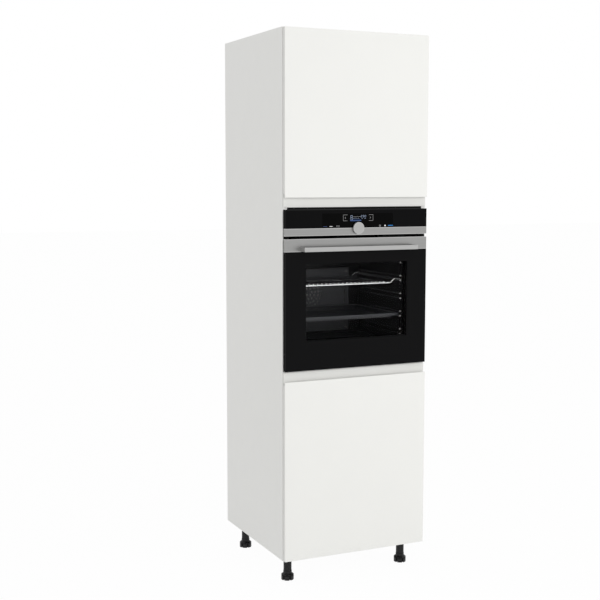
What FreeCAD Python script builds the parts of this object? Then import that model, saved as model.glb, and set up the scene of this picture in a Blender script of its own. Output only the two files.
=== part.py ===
import FreeCAD, Part
import math
import os

import Sketcher

# Tall oven housing unit: a floor-standing cabinet on levelling feet, with a
# cupboard below, a built-in oven at working height and a cupboard above.
# Millimetres, +Z up, +X to the right and -Y towards the user.  X = 0 is the
# middle of the carcass, Z = 0 is the floor, and Y = 0 is the middle of the
# depth from the handle's front to the back of the side panels.

os.makedirs("parts", exist_ok=True)
Vector = FreeCAD.Vector
doc = FreeCAD.newDocument("oven_housing")
sheet = doc.addObject("Spreadsheet::Sheet", "sizes")


# ---------------------------------------------------------------- sizes

def number(item):
    """The plain number of a size or of a number."""
    return item.value if isinstance(item, Size) else item


def words(item):
    """The formula of a size, or a number as text."""
    return item.text if isinstance(item, Size) else repr(item)


class Size:
    """A length that keeps both its number and its formula in the sheet."""

    def __init__(self, value, text):
        self.value = value
        self.text = text

    def __add__(self, other):
        return Size(self.value + number(other), f"({self.text} + {words(other)})")

    def __radd__(self, other):
        return Size(other + self.value, f"({words(other)} + {self.text})")

    def __sub__(self, other):
        return Size(self.value - number(other), f"({self.text} - {words(other)})")

    def __rsub__(self, other):
        return Size(other - self.value, f"({words(other)} - {self.text})")

    def __mul__(self, other):
        return Size(self.value * number(other), f"({self.text} * {words(other)})")

    def __rmul__(self, other):
        return Size(other * self.value, f"({words(other)} * {self.text})")

    def __truediv__(self, other):
        return Size(self.value / number(other), f"({self.text} / {words(other)})")

    def __neg__(self):
        return Size(-self.value, f"(-{self.text})")


def size(name, value, note):
    """Write one driving dimension into the sheet and return it."""
    row = size.rows = getattr(size, "rows", 0) + 1
    sheet.set(f"A{row}", note)
    sheet.set(f"B{row}", str(value))
    sheet.setAlias(f"B{row}", name)
    return Size(value, f"sizes.{name}")


# Carcass
width = size("width", 600, "outside width of the carcass")
carcass_depth = size("carcass_depth", 567, "depth of the side panels")
carcass_height = size("carcass_height", 1964, "height of the side panels")
leg_height = size("leg_height", 100, "floor to the underside of the carcass")
board = size("board", 18, "thickness of the carcass boards")
lower_room = size("lower_room", 686, "clear height of the lower cupboard")
niche_height = size("niche_height", 600, "clear height of the oven niche")
back_board = size("back_board", 3, "thickness of the back boards")
back_inset = size("back_inset", 15, "back boards to the rear edge of the sides")
groove_depth = size("groove_depth", 6, "depth of the grooves for the back boards")
vent_depth = size("vent_depth", 45, "air gap behind the two fixed shelves")
play = size("play", 0.2, "clearance of a loose board in its place")
snug = size("snug", 0.05, "clearance around a fastener in its hole")

# Adjustable shelves and their pins
shelf_setback = size("shelf_setback", 20, "front edge of a loose shelf behind the carcass front")
shelf_play = size("shelf_play", 0.8, "clearance at each end of a loose shelf")
pin_radius = size("pin_radius", 2.5, "shelf pin radius")
pin_bite = size("pin_bite", 9, "shelf pin length inside the side panel")
pin_reach = size("pin_reach", 8, "shelf pin length under the shelf")
pin_front = size("pin_front", 55, "front row of shelf pin holes")
pin_back = size("pin_back", 95, "rear row of shelf pin holes before the rear edge")
pin_pitch = size("pin_pitch", 32, "height between shelf pin holes")

# Cam fittings and dowels of the fixed boards
cam_radius = size("cam_radius", 7.5, "cam lock radius")
cam_height = size("cam_height", 13, "cam lock height")
cam_reach = size("cam_reach", 34, "cam lock centre from the end of its board")
bolt_radius = size("bolt_radius", 3, "cam bolt radius")
bolt_bite = size("bolt_bite", 11, "cam bolt length inside the side panel")
dowel_radius = size("dowel_radius", 4, "wooden dowel radius")
dowel_bite = size("dowel_bite", 12, "dowel length inside the side panel")
dowel_reach = size("dowel_reach", 18, "dowel length inside the fixed board")
fitting_front = size("fitting_front", 60, "first fitting behind the front edge")
fitting_back = size("fitting_back", 60, "last fitting before the board's rear edge")
fitting_pitch = size("fitting_pitch", 32, "cam bolt to its dowel")

# Chipboard screws of the legs, hinge plates and wall brackets
screw_radius = size("screw_radius", 1.75, "chipboard screw radius")
screw_length = size("screw_length", 14, "chipboard screw length under the head")
screw_head = size("screw_head", 3.5, "chipboard screw head radius")
screw_cap = size("screw_cap", 1.5, "chipboard screw head height")

# Wall brackets
bracket_spacing = size("bracket_spacing", 400, "distance between the two wall brackets")
bracket_width = size("bracket_width", 40, "width of a wall bracket")
bracket_leg = size("bracket_leg", 46, "length of each leg of a wall bracket")
bracket_sheet = size("bracket_sheet", 2, "thickness of a wall bracket")
bracket_hole = size("bracket_hole", 32, "bracket screws before the bracket's corner")
wall_hole = size("wall_hole", 3.25, "radius of the hole for a wall screw")
wall_drop = size("wall_drop", 26, "wall screw below the top panel")

# Legs and levelling feet
leg_inset = size("leg_inset", 53, "leg centre from the outside of the carcass")
leg_front = size("leg_front", 73, "front leg centre behind the carcass front")
leg_back = size("leg_back", 68, "rear leg centre before the rear edge")
leg_radius = size("leg_radius", 14.5, "radius of the leg tube")
leg_flange = size("leg_flange", 70, "side of the square leg flange")
leg_plate = size("leg_plate", 4, "thickness of the leg flange")
leg_screw = size("leg_screw", 27, "leg screws from the leg centre")
leg_ribs = 12
leg_rib = size("leg_rib", 0.9, "how far a rib stands out of the leg tube")
foot_radius = size("foot_radius", 24, "radius of the foot's base")
foot_height = size("foot_height", 34, "floor to the top of the foot's collar")
foot_collar = size("foot_collar", 16.4, "radius of the foot's collar")
foot_rim = size("foot_rim", 19.5, "floor to the top of the foot's rim")
foot_slope = size("foot_slope", 26, "floor to the top of the foot's cone")
foot_groove = size("foot_groove", 17, "floor to the middle of the groove round the foot")
groove_half = size("groove_half", 1.2, "half the height of that groove")
groove_bite = size("groove_bite", 3, "depth of that groove")
foot_lobes = 6
lobe_gap = size("lobe_gap", 5, "width of a notch between two lobes of the foot")
lobe_height = size("lobe_height", 15.8, "height of that notch")
lobe_depth = size("lobe_depth", 6, "depth of that notch")
stem_radius = size("stem_radius", 10, "radius of the foot's screwed stem")
stem_drop = size("stem_drop", 16, "top of the stem below the leg flange")
stem_play = size("stem_play", 0.08, "running clearance of the stem in the leg")
foot_seat = size("foot_seat", 0.3, "collar to leg tube, screwed right in")
stem_room = size("stem_room", 8, "free bore above the stem")

# Doors
door_thickness = size("door_thickness", 18, "thickness of the doors")
door_gap = size("door_gap", 0.6, "back of a closed door to the carcass front")
door_reveal = size("door_reveal", 2, "door edge inside the carcass outline")
door_clear = size("door_clear", 8.5, "top of the lower door below the niche floor")
door_drop = size("door_drop", 1.5, "bottom of the upper door below the niche roof")
grip_height = size("grip_height", 35, "height of the recessed grip strip")
grip_lip = size("grip_lip", 4.2, "thickness of the strip behind the grip")
grip_nose = size("grip_nose", 6, "thickness of the nose in front of the grip")
grip_channel = size("grip_channel", 13, "depth of the channel behind the nose")
grip_round = size("grip_round", 3.2, "radius at the bottom of the channel")
nose_round = size("nose_round", 1.6, "radius on the edges of the nose")
door_round = size("door_round", 0.9, "radius round the front face of a door")

# Concealed hinges
cup_radius = size("cup_radius", 17.4, "radius of the hinge cup")
cup_depth = size("cup_depth", 11.5, "depth of the hinge cup in the door")
cup_wall = size("cup_wall", 1, "wall of the hinge cup")
cup_inset = size("cup_inset", 22.5, "cup centre from the door's edge")
cup_flange = size("cup_flange", 52, "height of the cup's flange")
hinge_near = size("hinge_near", 90, "hinge from the plain end of a door")
hinge_far = size("hinge_far", 110, "hinge from the grip end of a door")
arm_height = size("arm_height", 14, "height of the hinge arm")
arm_width = size("arm_width", 13, "hinge arm from its plate towards the middle")
arm_reach = size("arm_reach", 68, "end of the hinge arm behind the carcass front")
arm_nose = size("arm_nose", 7.5, "nose of the arm in front of the carcass front")
nose_height = size("nose_height", 10, "height of the arm's nose")
nose_width = size("nose_width", 8, "width of the arm's nose")
arm_clear = size("arm_clear", 2.2, "start of the arm behind the carcass front")
plate_rise = size("plate_rise", 5, "thickness of the hinge plate under the arm")
plate_wing = size("plate_wing", 2.5, "thickness of the plate's wings")
plate_start = size("plate_start", 27, "front of the hinge plate")
plate_length = size("plate_length", 38, "length of the hinge plate")
wing_length = size("wing_length", 20, "length of the plate's wings")
wing_height = size("wing_height", 46, "height of the plate over its wings")
wing_screw = size("wing_screw", 16, "plate screws from the hinge's middle")
bumper_radius = size("bumper_radius", 4, "radius of a door bumper")
bumper_rise = size("bumper_rise", 0.5, "thickness of a door bumper")
bumper_inset = size("bumper_inset", 30, "bumper from the end of its cupboard")

# Oven housing box
front_side = size("front_side", 3, "oven front inside the outline of the carcass")
front_slack = size("front_slack", 5, "oven front lower than its niche")
front_drop = size("front_drop", 5, "oven front below the niche floor")
front_reach = size("front_reach", 17.5, "oven front before the carcass front")
casing_play = size("casing_play", 4, "oven casing to each side panel")
casing_head = size("casing_head", 20, "free height above the oven casing")
casing_back = size("casing_back", 27, "oven casing before the rear edge of the sides")
casing_sheet = size("casing_sheet", 1.2, "sheet of the casing")
flange_sheet = size("flange_sheet", 1.5, "thickness of the casing's front frame")
lid_gap = size("lid_gap", 0.5, "top of the casing's front to the upper door")
vent_slots = 9
slot_pitch = size("slot_pitch", 40, "distance between the rear vent slots")
slot_width = size("slot_width", 22, "length of a rear vent slot")
slot_height = size("slot_height", 6, "height of a rear vent slot")
slot_drop = size("slot_drop", 60, "rear vent slots below the casing's top")
fix_inset = size("fix_inset", 11, "oven fixing screw from the outside of the carcass")
fix_low = size("fix_low", 60, "lower fixing screw above the niche floor")
fix_high = size("fix_high", 170, "upper fixing screw below the niche roof")
fix_radius = size("fix_radius", 2, "oven fixing screw radius")
fix_length = size("fix_length", 25, "oven fixing screw length under the head")
fix_head = size("fix_head", 4, "oven fixing screw head radius")
fix_cap = size("fix_cap", 2, "oven fixing screw head height")

# Oven cavity
cavity_side = size("cavity_side", 38, "inside of the cavity from the side of the casing")
cavity_head = size("cavity_head", 155, "cavity roof below the casing's top")
cavity_rear = size("cavity_rear", 103, "rear wall of the cavity before the casing's rear")
cavity_rise = size("cavity_rise", 68, "cavity floor above the niche floor")
cavity_front = size("cavity_front", 22, "cavity's front plate behind the carcass front")
cavity_sheet = size("cavity_sheet", 1.5, "enamelled sheet of the cavity")
plate_top = size("plate_top", 53, "top of the front plate above the cavity roof")
seal_width = size("seal_width", 8, "width of the door seal")
seal_rise = size("seal_rise", 3.5, "height of the door seal")
wool = size("wool", 30, "insulation beside the cavity")
wool_top = size("wool_top", 10, "insulation above the cavity")
wool_back = size("wool_back", 60, "insulation behind the cavity")

# Side rails, rack and tray
wire = size("wire", 2.5, "radius of the rail wires")
rail_inset = size("rail_inset", 14, "rail wires from the cavity wall")
post_inset = size("post_inset", 9.5, "rail posts from the cavity wall")
rail_levels = 5
rail_first = size("rail_first", 34, "lowest rail above the cavity floor")
rail_head = size("rail_head", 45, "highest rail below the cavity roof")
rail_pair = size("rail_pair", 18.5, "height between the two wires of a level")
rail_start = size("rail_start", 34, "front end of the rails behind the cavity front")
rail_end = size("rail_end", 23, "rear end of the rails before the rear wall")
post_shift = size("post_shift", 12, "rail post from the end of the rails")
post_spare = size("post_spare", 10, "rail post beyond its last wire")
run_gap = size("run_gap", 0.3, "rack or tray above the wire that carries it")
rack_level = 3
rack_front = size("rack_front", 50, "front of the rack behind the cavity front")
rack_clear = size("rack_clear", 9, "rear of the rack and the tray before the fan cover")
rack_drop = size("rack_drop", 15, "rack grid below its side bars")
rack_bend = size("rack_bend", 32, "width of the rack's raised end")
rack_ramp = size("rack_ramp", 17, "part of that width in which it rises")
rack_inset = size("rack_inset", 16, "rack's side bars from the cavity wall")
rack_bar = size("rack_bar", 3, "radius of the rack's frame wire")
rack_wire = size("rack_wire", 2.2, "radius of the rack's grid wires")
rack_weld = size("rack_weld", 0.5, "depth to which a grid wire is welded into a bar")
rack_pitch = size("rack_pitch", 17.7, "distance between grid wires")
tray_level = 1
tray_edge = size("tray_edge", 14.5, "tray edge from the cavity wall")
tray_front = size("tray_front", 30, "front of the tray behind the cavity front")
tray_rim = size("tray_rim", 22, "width of the tray's rim")
tray_bead = size("tray_bead", 9.5, "height of the tray's folded edge")
tray_deep = size("tray_deep", 18, "depth of the tray below its rim")
tray_sheet = size("tray_sheet", 1.2, "sheet of the tray")
tray_round = size("tray_round", 12, "corner radius of the tray")

# Fan, heaters and lamp
cover_side = size("cover_side", 56, "fan cover from the side walls of the cavity")
cover_rise = size("cover_rise", 10, "fan cover above the cavity floor")
cover_drop = size("cover_drop", 89.5, "fan cover below the cavity roof")
fan_box_depth = size("fan_box_depth", 26, "depth of the fan cover")
fan_box_wall = size("fan_box_wall", 1.5, "sheet of the fan cover")
mouth_pitch = size("mouth_pitch", 15, "distance between the rings of suction holes")
mouth_rings = 4
fan_hole = size("fan_hole", 4.5, "radius of a suction hole")
outlet_half = size("outlet_half", 9, "half the height of a hot air slot")
outlet_inset = size("outlet_inset", 18, "hot air slots from the cover's edge")
outlet_pitch = size("outlet_pitch", 31, "height between the hot air slots")
fan_rise = size("fan_rise", 174, "fan axis above the cavity floor")
fan_radius = size("fan_radius", 70, "radius of the fan wheel")
fan_blade = size("fan_blade", 10, "height of the fan blades")
fan_plate = size("fan_plate", 1.5, "thickness of the fan's back plate and blades")
blade_length = size("blade_length", 28, "length of a fan blade")
fan_blades = 12
fan_gap = size("fan_gap", 5, "fan wheel before the rear wall")
shaft_radius = size("shaft_radius", 3, "radius of the fan and knob shafts")
shaft_play = size("shaft_play", 0.06, "running clearance of those shafts")
shaft_length = size("shaft_length", 34, "fan shaft behind the fan wheel")
shaft_hole = size("shaft_hole", 6, "radius of the shaft's hole in the cavity")
motor_radius = size("motor_radius", 40, "radius of the fan motor")
motor_length = size("motor_length", 45, "length of the fan motor")
ring_radius = size("ring_radius", 86, "radius of the ring heater")
heater_wire = size("heater_wire", 3.25, "radius of the heater tubes")
ring_gap = size("ring_gap", 12, "ring heater before the rear wall")
ring_leg_turn = 12
ring_leg_wire = size("ring_leg_wire", 2.8, "radius of the ring heater's legs")
grill_side = size("grill_side", 60, "grill heater from the side walls of the cavity")
grill_front = size("grill_front", 115, "grill heater behind the cavity front")
grill_drop = size("grill_drop", 16, "grill heater below the cavity roof")
grill_runs = 6
lamp_radius = size("lamp_radius", 27, "radius of the lamp glass")
lamp_rise = size("lamp_rise", 12, "lamp glass before the rear wall")
lamp_inset = size("lamp_inset", 45, "lamp centre from the cavity's corner")

# Cooling blower and mains terminal
blower_side = size("blower_side", 98, "cooling blower from the side of the casing")
blower_depth = size("blower_depth", 110, "depth of the cooling blower")
blower_height = size("blower_height", 62, "height of the cooling blower")
blower_front = size("blower_front", 110, "blower behind the carcass front")
blower_wall = size("blower_wall", 1.5, "wall of the blower housing")
roller_radius = size("roller_radius", 24, "radius of the blower roller")
roller_axle = size("roller_axle", 4, "radius of the roller's axle")
roller_gap = size("roller_gap", 4, "roller to each end of its housing")
terminal_width = size("terminal_width", 70, "width of the mains terminal box")
terminal_height = size("terminal_height", 42, "height of the mains terminal box")
terminal_depth = size("terminal_depth", 22, "depth of the mains terminal box")
terminal_inset = size("terminal_inset", 88, "middle of the terminal box from the casing's side")
terminal_drop = size("terminal_drop", 130, "underside of the terminal box below the casing's top")
inlet_radius = size("inlet_radius", 5.5, "radius of the cable inlet")
inlet_depth = size("inlet_depth", 15, "depth of the cable inlet")

# Control panel
fascia_height = size("fascia_height", 69, "height of the black glass fascia")
strip_height = size("strip_height", 27.4, "height of the steel strip below it")
glass = size("glass", 4, "thickness of the front glasses")
strip_sheet = size("strip_sheet", 1.2, "sheet of the steel strips")
fold_gap = size("fold_gap", 0.5, "folded ends of the strips to the casing's front frame")
vent_gap = size("vent_gap", 10.8, "air outlet between control panel and door")
frame_inset = size("frame_inset", 5, "control housing inside the oven front")
frame_plate = size("frame_plate", 2.5, "front plate of the control housing")
frame_wall = size("frame_wall", 2.5, "walls of the control housing")
box_inset = size("box_inset", 13, "control housing's box inside the width of the casing")
frame_depth = size("frame_depth", 60, "control housing behind the carcass front")
frame_foot = size("frame_foot", 1.6, "control housing above the steel strip's edge")
display_width = size("display_width", 140, "width of the display module")
display_height = size("display_height", 34, "height of the display module")
display_depth = size("display_depth", 9, "depth of the display module")
display_drop = size("display_drop", 38, "display centre below the oven front's top")
knob_drop = size("knob_drop", 70.4, "knob centre below the oven front's top")
knob_radius = size("knob_radius", 22.5, "radius of the control knob")
knob_rise = size("knob_rise", 10, "front of the knob before the control panel")
knob_gap = size("knob_gap", 1.2, "back of the knob before the control panel")
knob_shaft = size("knob_shaft", 22, "length of the knob's shaft behind the panel")
knob_hole = size("knob_hole", 5, "radius of the knob's hole in the panel")
encoder_side = size("encoder_side", 18, "side of the knob's switch")
encoder_depth = size("encoder_depth", 14, "depth of the knob's switch")

# Oven door
door_foot = size("door_foot", 1, "oven door above the oven front's lower edge")
trim_height = size("trim_height", 47, "height of the door's steel strip")
trim_return = size("trim_return", 9, "folded edge on top of that strip")
frame_side = size("frame_side", 29, "door's inner frame inside the width of the oven front")
frame_low = size("frame_low", 18, "inner frame above the door's lower edge")
frame_top = size("frame_top", 9, "inner frame below the door's upper edge")
frame_skin = size("frame_skin", 3, "walls of the door's inner frame")
seal_gap = size("seal_gap", 0.3, "door's inner face to the seal")
window_side = size("window_side", 27, "window inside the width of the cavity")
window_sill = size("window_sill", 38, "window above the cavity floor")
window_head = size("window_head", 35, "window below the cavity roof")
pane_step = size("pane_step", 17, "how far each inner pane is larger than the last")
middle_pane = size("middle_pane", 14, "front of the middle pane behind the outer one")
pivot_depth = size("pivot_depth", 7.5, "door pivot behind the oven front")
pivot_rise = size("pivot_rise", 7, "door pivot above the door's lower edge")
pivot_pin = size("pivot_pin", 2, "radius of the door pivot pins")
pivot_play = size("pivot_play", 0.06, "running clearance of the pivot pins")
knuckle = size("knuckle", 3.4, "radius of the door's hinge knuckles")
knuckle_width = size("knuckle_width", 10, "width of a hinge knuckle")
ear_sheet = size("ear_sheet", 2, "thickness of the hinge ears")
ear_height = size("ear_height", 14, "height of the hinge ears")
ear_gap = size("ear_gap", 11, "hinge ear beside the inner frame")
ear_play = size("ear_play", 0.3, "clearance of the hinge ear to the turning door")
handle_inset = size("handle_inset", 59.5, "end of the handle inside the width of the oven front")
handle_height = size("handle_height", 16.5, "height of the handle's bar")
handle_reach = size("handle_reach", 61, "handle's front before the carcass front")
handle_bar = size("handle_bar", 9, "thickness of the handle's bar")
handle_post = size("handle_post", 9, "width of the handle's ends")
handle_rise = size("handle_rise", 1.7, "handle above the lower edge of the steel strip")
handle_round = size("handle_round", 5, "outer corner radius of the handle")
edge_round = size("edge_round", 0.6, "small radius on metal edges")

# Places that follow from them
front = (handle_reach - carcass_depth) / 2
half = width / 2
inner = half - board
carcass_top = leg_height + carcass_height
niche_floor = leg_height + 2 * board + lower_room
niche_roof = niche_floor + niche_height
back_plane = carcass_depth - back_inset - back_board
panel_depth = back_plane - play
fixed_depth = panel_depth - vent_depth
front_width = width - 2 * front_side
front_height = niche_height - front_slack
casing_width = 2 * (inner - casing_play)
casing_top = niche_roof - casing_head
casing_depth = carcass_depth - casing_back
oven_bottom = niche_floor - front_drop
oven_top = oven_bottom + front_height
fascia_bottom = oven_top - fascia_height
strip_bottom = fascia_bottom - strip_height
door_top = strip_bottom - vent_gap
door_bottom = oven_bottom + door_foot
trim_bottom = door_top - trim_height
panel_back = glass - front_reach
cavity_floor = niche_floor + cavity_rise
cavity_roof = casing_top - cavity_head
cavity_height = cavity_roof - cavity_floor
cavity_half = casing_width / 2 - cavity_side
cavity_back = casing_depth - cavity_rear
fan_level = cavity_floor + fan_rise
knob_level = oven_top - knob_drop


# ---------------------------------------------------------------- helpers

pieces = []


def bind(thing, name, item):
    """Tie one property of a thing to a size, or set a plain number."""
    thing.setExpression(name, words(item))


def put(thing, x, y, z):
    """Place a thing by a point given from the carcass front plane."""
    bind(thing, "Placement.Base.x", x)
    bind(thing, "Placement.Base.y", y + front)
    bind(thing, "Placement.Base.z", z)
    return thing


def keep(thing):
    """Count a finished sub-part among the pieces that are written out."""
    pieces.append(thing)
    return thing


def block(label, low, high):
    """A box between two opposite corners."""
    box = doc.addObject("Part::Box", label)
    for side, start, end in zip(("Length", "Width", "Height"), low, high):
        bind(box, side, end - start)
    return put(box, *low)


TURNS = {
    "X": FreeCAD.Rotation(Vector(0, 1, 0), 90),
    "Y": FreeCAD.Rotation(Vector(1, 0, 0), -90),
    "Z": FreeCAD.Rotation(),
}


def rod(label, start, length, radius, along):
    """A round bar from a start point along one of the axes."""
    bar = doc.addObject("Part::Cylinder", label)
    bind(bar, "Radius", radius)
    bind(bar, "Height", length)
    bar.Placement.Rotation = TURNS[along]
    return put(bar, *start)


def cross_rod(label, side, near, far, y, z, radius):
    """A round bar along X between two distances from the middle, on one side."""
    start = near if side > 0 else -far
    return rod(label, (start, y, z), far - near, radius, "X")


def group(label, members):
    """Separate solids that share one sub-part."""
    bunch = doc.addObject("Part::Compound", label)
    bunch.Links = members
    return bunch


def join(label, members):
    """Solids fused into one."""
    fused = doc.addObject("Part::MultiFuse", label)
    fused.Shapes = members
    fused.Refine = True
    return fused


def cut(label, base, tools):
    """A solid with other solids taken away."""
    rest = doc.addObject("Part::Cut", label)
    rest.Base = base
    rest.Tool = tools[0] if len(tools) == 1 else join(label + "_cutters", tools)
    rest.Refine = True
    return rest


def new_body(label):
    """A sub-part that is built from sketches."""
    return doc.addObject("PartDesign::Body", label)


def origin_plane(body, role):
    """One of the body's own three planes."""
    for feature in body.Origin.OriginFeatures:
        if feature.Role == role:
            return feature
    raise ValueError(role)


def new_sketch(body, role, name):
    sketch = body.newObject("Sketcher::SketchObject", name)
    sketch.AttachmentSupport = (origin_plane(body, role), [""])
    sketch.MapMode = "FlatFace"
    return sketch


def fix_point(sketch, index, end, u, v):
    """Hold one point of a sketch at two sizes from the sketch's origin."""
    for kind, item in (("DistanceX", u), ("DistanceY", v)):
        rule = Sketcher.Constraint(kind, -1, 1, index, end, number(item))
        place = sketch.addConstraint(rule)
        sketch.setExpression(f"Constraints[{place}]", words(item))


def outline(body, role, name, corners):
    """A closed sketch of straight lines through corners given as sizes."""
    sketch = new_sketch(body, role, name)
    points = [Vector(number(u), number(v), 0) for u, v in corners]
    count = len(points)
    for index in range(count):
        following = points[(index + 1) % count]
        sketch.addGeometry(Part.LineSegment(points[index], following))
    for index in range(count):
        rule = Sketcher.Constraint("Coincident", index, 2, (index + 1) % count, 1)
        sketch.addConstraint(rule)
    for index, (u, v) in enumerate(corners):
        fix_point(sketch, index, 1, u, v)
    return sketch


def circle(body, role, name, centres, radius):
    """A sketch of equal circles."""
    sketch = new_sketch(body, role, name)
    for index, (u, v) in enumerate(centres):
        middle = Vector(number(u), number(v), 0)
        sketch.addGeometry(Part.Circle(middle, Vector(0, 0, 1), number(radius)))
        fix_point(sketch, index, 3, u, v)
        rule = Sketcher.Constraint("Radius", index, number(radius))
        place = sketch.addConstraint(rule)
        sketch.setExpression(f"Constraints[{place}]", words(radius))
    return sketch


def pad(body, sketch, length, midplane=False, backwards=False):
    """Material of one thickness on a sketch."""
    feature = body.newObject("PartDesign::Pad", sketch.Name + "_pad")
    feature.Profile = sketch
    bind(feature, "Length", length)
    feature.Midplane = midplane
    feature.Reversed = backwards
    return feature


def pocket(body, sketch, length, backwards=False):
    """Material taken away below a sketch."""
    feature = body.newObject("PartDesign::Pocket", sketch.Name + "_pocket")
    feature.Profile = sketch
    bind(feature, "Length", length)
    feature.Reversed = backwards
    return feature


def spin(body, sketch, axis):
    """A full turn of a sketch about one of its own axes."""
    feature = body.newObject("PartDesign::Revolution", sketch.Name + "_turned")
    feature.Profile = sketch
    feature.ReferenceAxis = (sketch, [axis])
    feature.Angle = 360
    return feature


def soften(body, feature, radius, test):
    """Round those edges of a feature whose middle and direction pass a test."""
    doc.recompute()
    names = []
    for index, edge in enumerate(feature.Shape.Edges):
        middle = edge.valueAt((edge.FirstParameter + edge.LastParameter) / 2)
        way = edge.tangentAt((edge.FirstParameter + edge.LastParameter) / 2)
        if test(middle, way):
            names.append(f"Edge{index + 1}")
    rounded = body.newObject("PartDesign::Fillet", feature.Name + "_rounded")
    rounded.Base = (feature, names)
    bind(rounded, "Radius", radius)
    return rounded


def same(first, second):
    """Two lengths that agree to a thousandth of a millimetre."""
    return abs(first - number(second)) < 0.001


# ---------------------------------------------------------------- carcass

fixed_boards = (
    ("bottom_panel", leg_height, panel_depth),
    ("shelf_under_oven", niche_floor - board, fixed_depth),
    ("shelf_over_oven", niche_roof, fixed_depth),
    ("top_panel", carcass_top - board, panel_depth),
)
lower_shelf = leg_height + board + lower_room / 2
upper_shelf = (niche_roof + carcass_top) / 2
loose_shelves = (("lower_shelf", lower_shelf), ("upper_shelf", upper_shelf))
pin_rows = (pin_front, carcass_depth - pin_back)
lower_door_height = niche_floor - door_clear - leg_height
upper_door_low = niche_roof - door_drop
upper_door_height = carcass_top - door_reveal - upper_door_low
lower_hinges = (leg_height + hinge_near, leg_height + lower_door_height - hinge_far)
upper_hinges = (upper_door_low + hinge_far, upper_door_low + upper_door_height - hinge_near)
fix_levels = (niche_floor + fix_low, niche_roof - fix_high)
fix_place = half - fix_inset


def fittings(depth):
    """Depths of the two cam bolts and the two dowels at one end of a board."""
    last = depth - fitting_back
    bolts = (fitting_front, last)
    dowels = (fitting_front + fitting_pitch, last - fitting_pitch)
    return bolts, dowels


def side_panel(label, side):
    """A side board with its groove, shelf pin holes and fitting holes."""
    low = inner if side > 0 else -half
    blank = block(label + "_blank", (low, 0, leg_height), (low + board, carcass_depth, carcass_top))
    start = inner if side > 0 else -(inner + groove_depth)
    slot_front = back_plane - play
    slot_back = back_plane + back_board + play
    holes = [block(label + "_groove", (start, slot_front, leg_height),
                   (start + groove_depth, slot_back, carcass_top))]
    for name, level, depth in fixed_boards:
        middle = level + board / 2
        bolts, dowels = fittings(depth)
        for y in bolts:
            holes.append(cross_rod(label + "_bolt_hole", side, inner, inner + bolt_bite + play,
                                   y, middle, bolt_radius + snug))
        for y in dowels:
            holes.append(cross_rod(label + "_dowel_hole", side, inner, inner + dowel_bite + play,
                                   y, middle, dowel_radius + snug))
    for name, level in loose_shelves:
        for row in range(-2, 3):
            for y in pin_rows:
                holes.append(cross_rod(label + "_pin_hole", side, inner, inner + pin_bite + play,
                                       y, level - pin_radius + row * pin_pitch, pin_radius + snug))
    if side > 0:
        for level in lower_hinges + upper_hinges:
            for way in (-1, 1):
                holes.append(cross_rod(label + "_plate_hole", side, inner,
                                       inner + screw_length - plate_wing + play,
                                       plate_start + wing_length / 2, level + way * wing_screw,
                                       screw_radius + snug))
    for level in fix_levels:
        holes.append(rod(label + "_fix_hole", (side * fix_place, 0, level),
                         fix_length - flange_sheet + play, fix_radius + snug, "Y"))
    return keep(cut(label, blank, holes))


side_panel("side_left", -1)
side_panel("side_right", 1)

cams = []
bolts_made = []
dowels_made = []


def fixed_board(label, level, depth, extra):
    """A fixed board, bored for its cam locks, bolts and dowels."""
    blank = block(label + "_blank", (-inner, 0, level), (inner, depth, level + board))
    holes = list(extra)
    middle = level + board / 2
    cam_place = inner - cam_reach
    bolts, dowels = fittings(depth)
    for side in (-1, 1):
        for y in bolts:
            centre = (side * cam_place, y, level)
            holes.append(rod(label + "_cam_hole", centre, cam_height + play,
                             cam_radius + snug, "Z"))
            holes.append(cross_rod(label + "_bolt_bore", side, cam_place, inner, y, middle,
                                   bolt_radius + snug))
            lock = rod(label + "_cam_blank", centre, cam_height, cam_radius, "Z")
            mouth = cross_rod(label + "_cam_mouth", side, cam_place - bolt_radius,
                              inner, y, middle, bolt_radius + snug)
            cams.append(cut(label + "_cam", lock, [mouth]))
            bolts_made.append(cross_rod(label + "_bolt", side, cam_place - bolt_radius / 2,
                                        inner + bolt_bite, y, middle, bolt_radius))
        for y in dowels:
            holes.append(cross_rod(label + "_dowel_bore", side, inner - dowel_reach - play,
                                   inner, y, middle, dowel_radius + snug))
            dowels_made.append(cross_rod(label + "_dowel", side, inner - dowel_reach,
                                         inner + dowel_bite, y, middle, dowel_radius))
    return keep(cut(label, blank, holes))


leg_place = half - leg_inset
stem_top = leg_height - leg_plate - stem_drop
leg_rows = (("front", leg_front), ("back", carcass_depth - leg_back))
leg_sides = (("left", -1), ("right", 1))
screws = []


def screw(point, away):
    """A chipboard screw whose head rests at a point; away names its shank's way."""
    x, y, z = point
    along = away[1]
    sign = 1 if away[0] == "+" else -1
    shank_start = [x, y, z]
    head_start = [x, y, z]
    axis = "XYZ".index(along)
    if sign > 0:
        head_start[axis] = head_start[axis] - screw_cap
    else:
        shank_start[axis] = shank_start[axis] - screw_length
    shank = rod("screw_shank", shank_start, screw_length, screw_radius, along)
    head = rod("screw_cap", head_start, screw_cap, screw_head, along)
    screws.append(join("screw", [shank, head]))


leg_holes = []
for row, y in leg_rows:
    for side_name, side in leg_sides:
        for u in (-1, 1):
            for v in (-1, 1):
                x_place = side * leg_place + u * leg_screw
                y_place = y + v * leg_screw
                leg_holes.append(rod("leg_screw_hole", (x_place, y_place, leg_height),
                                     screw_length - leg_plate + play,
                                     screw_radius + snug, "Z"))
                screw((x_place, y_place, leg_height - leg_plate), "+Z")

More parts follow.
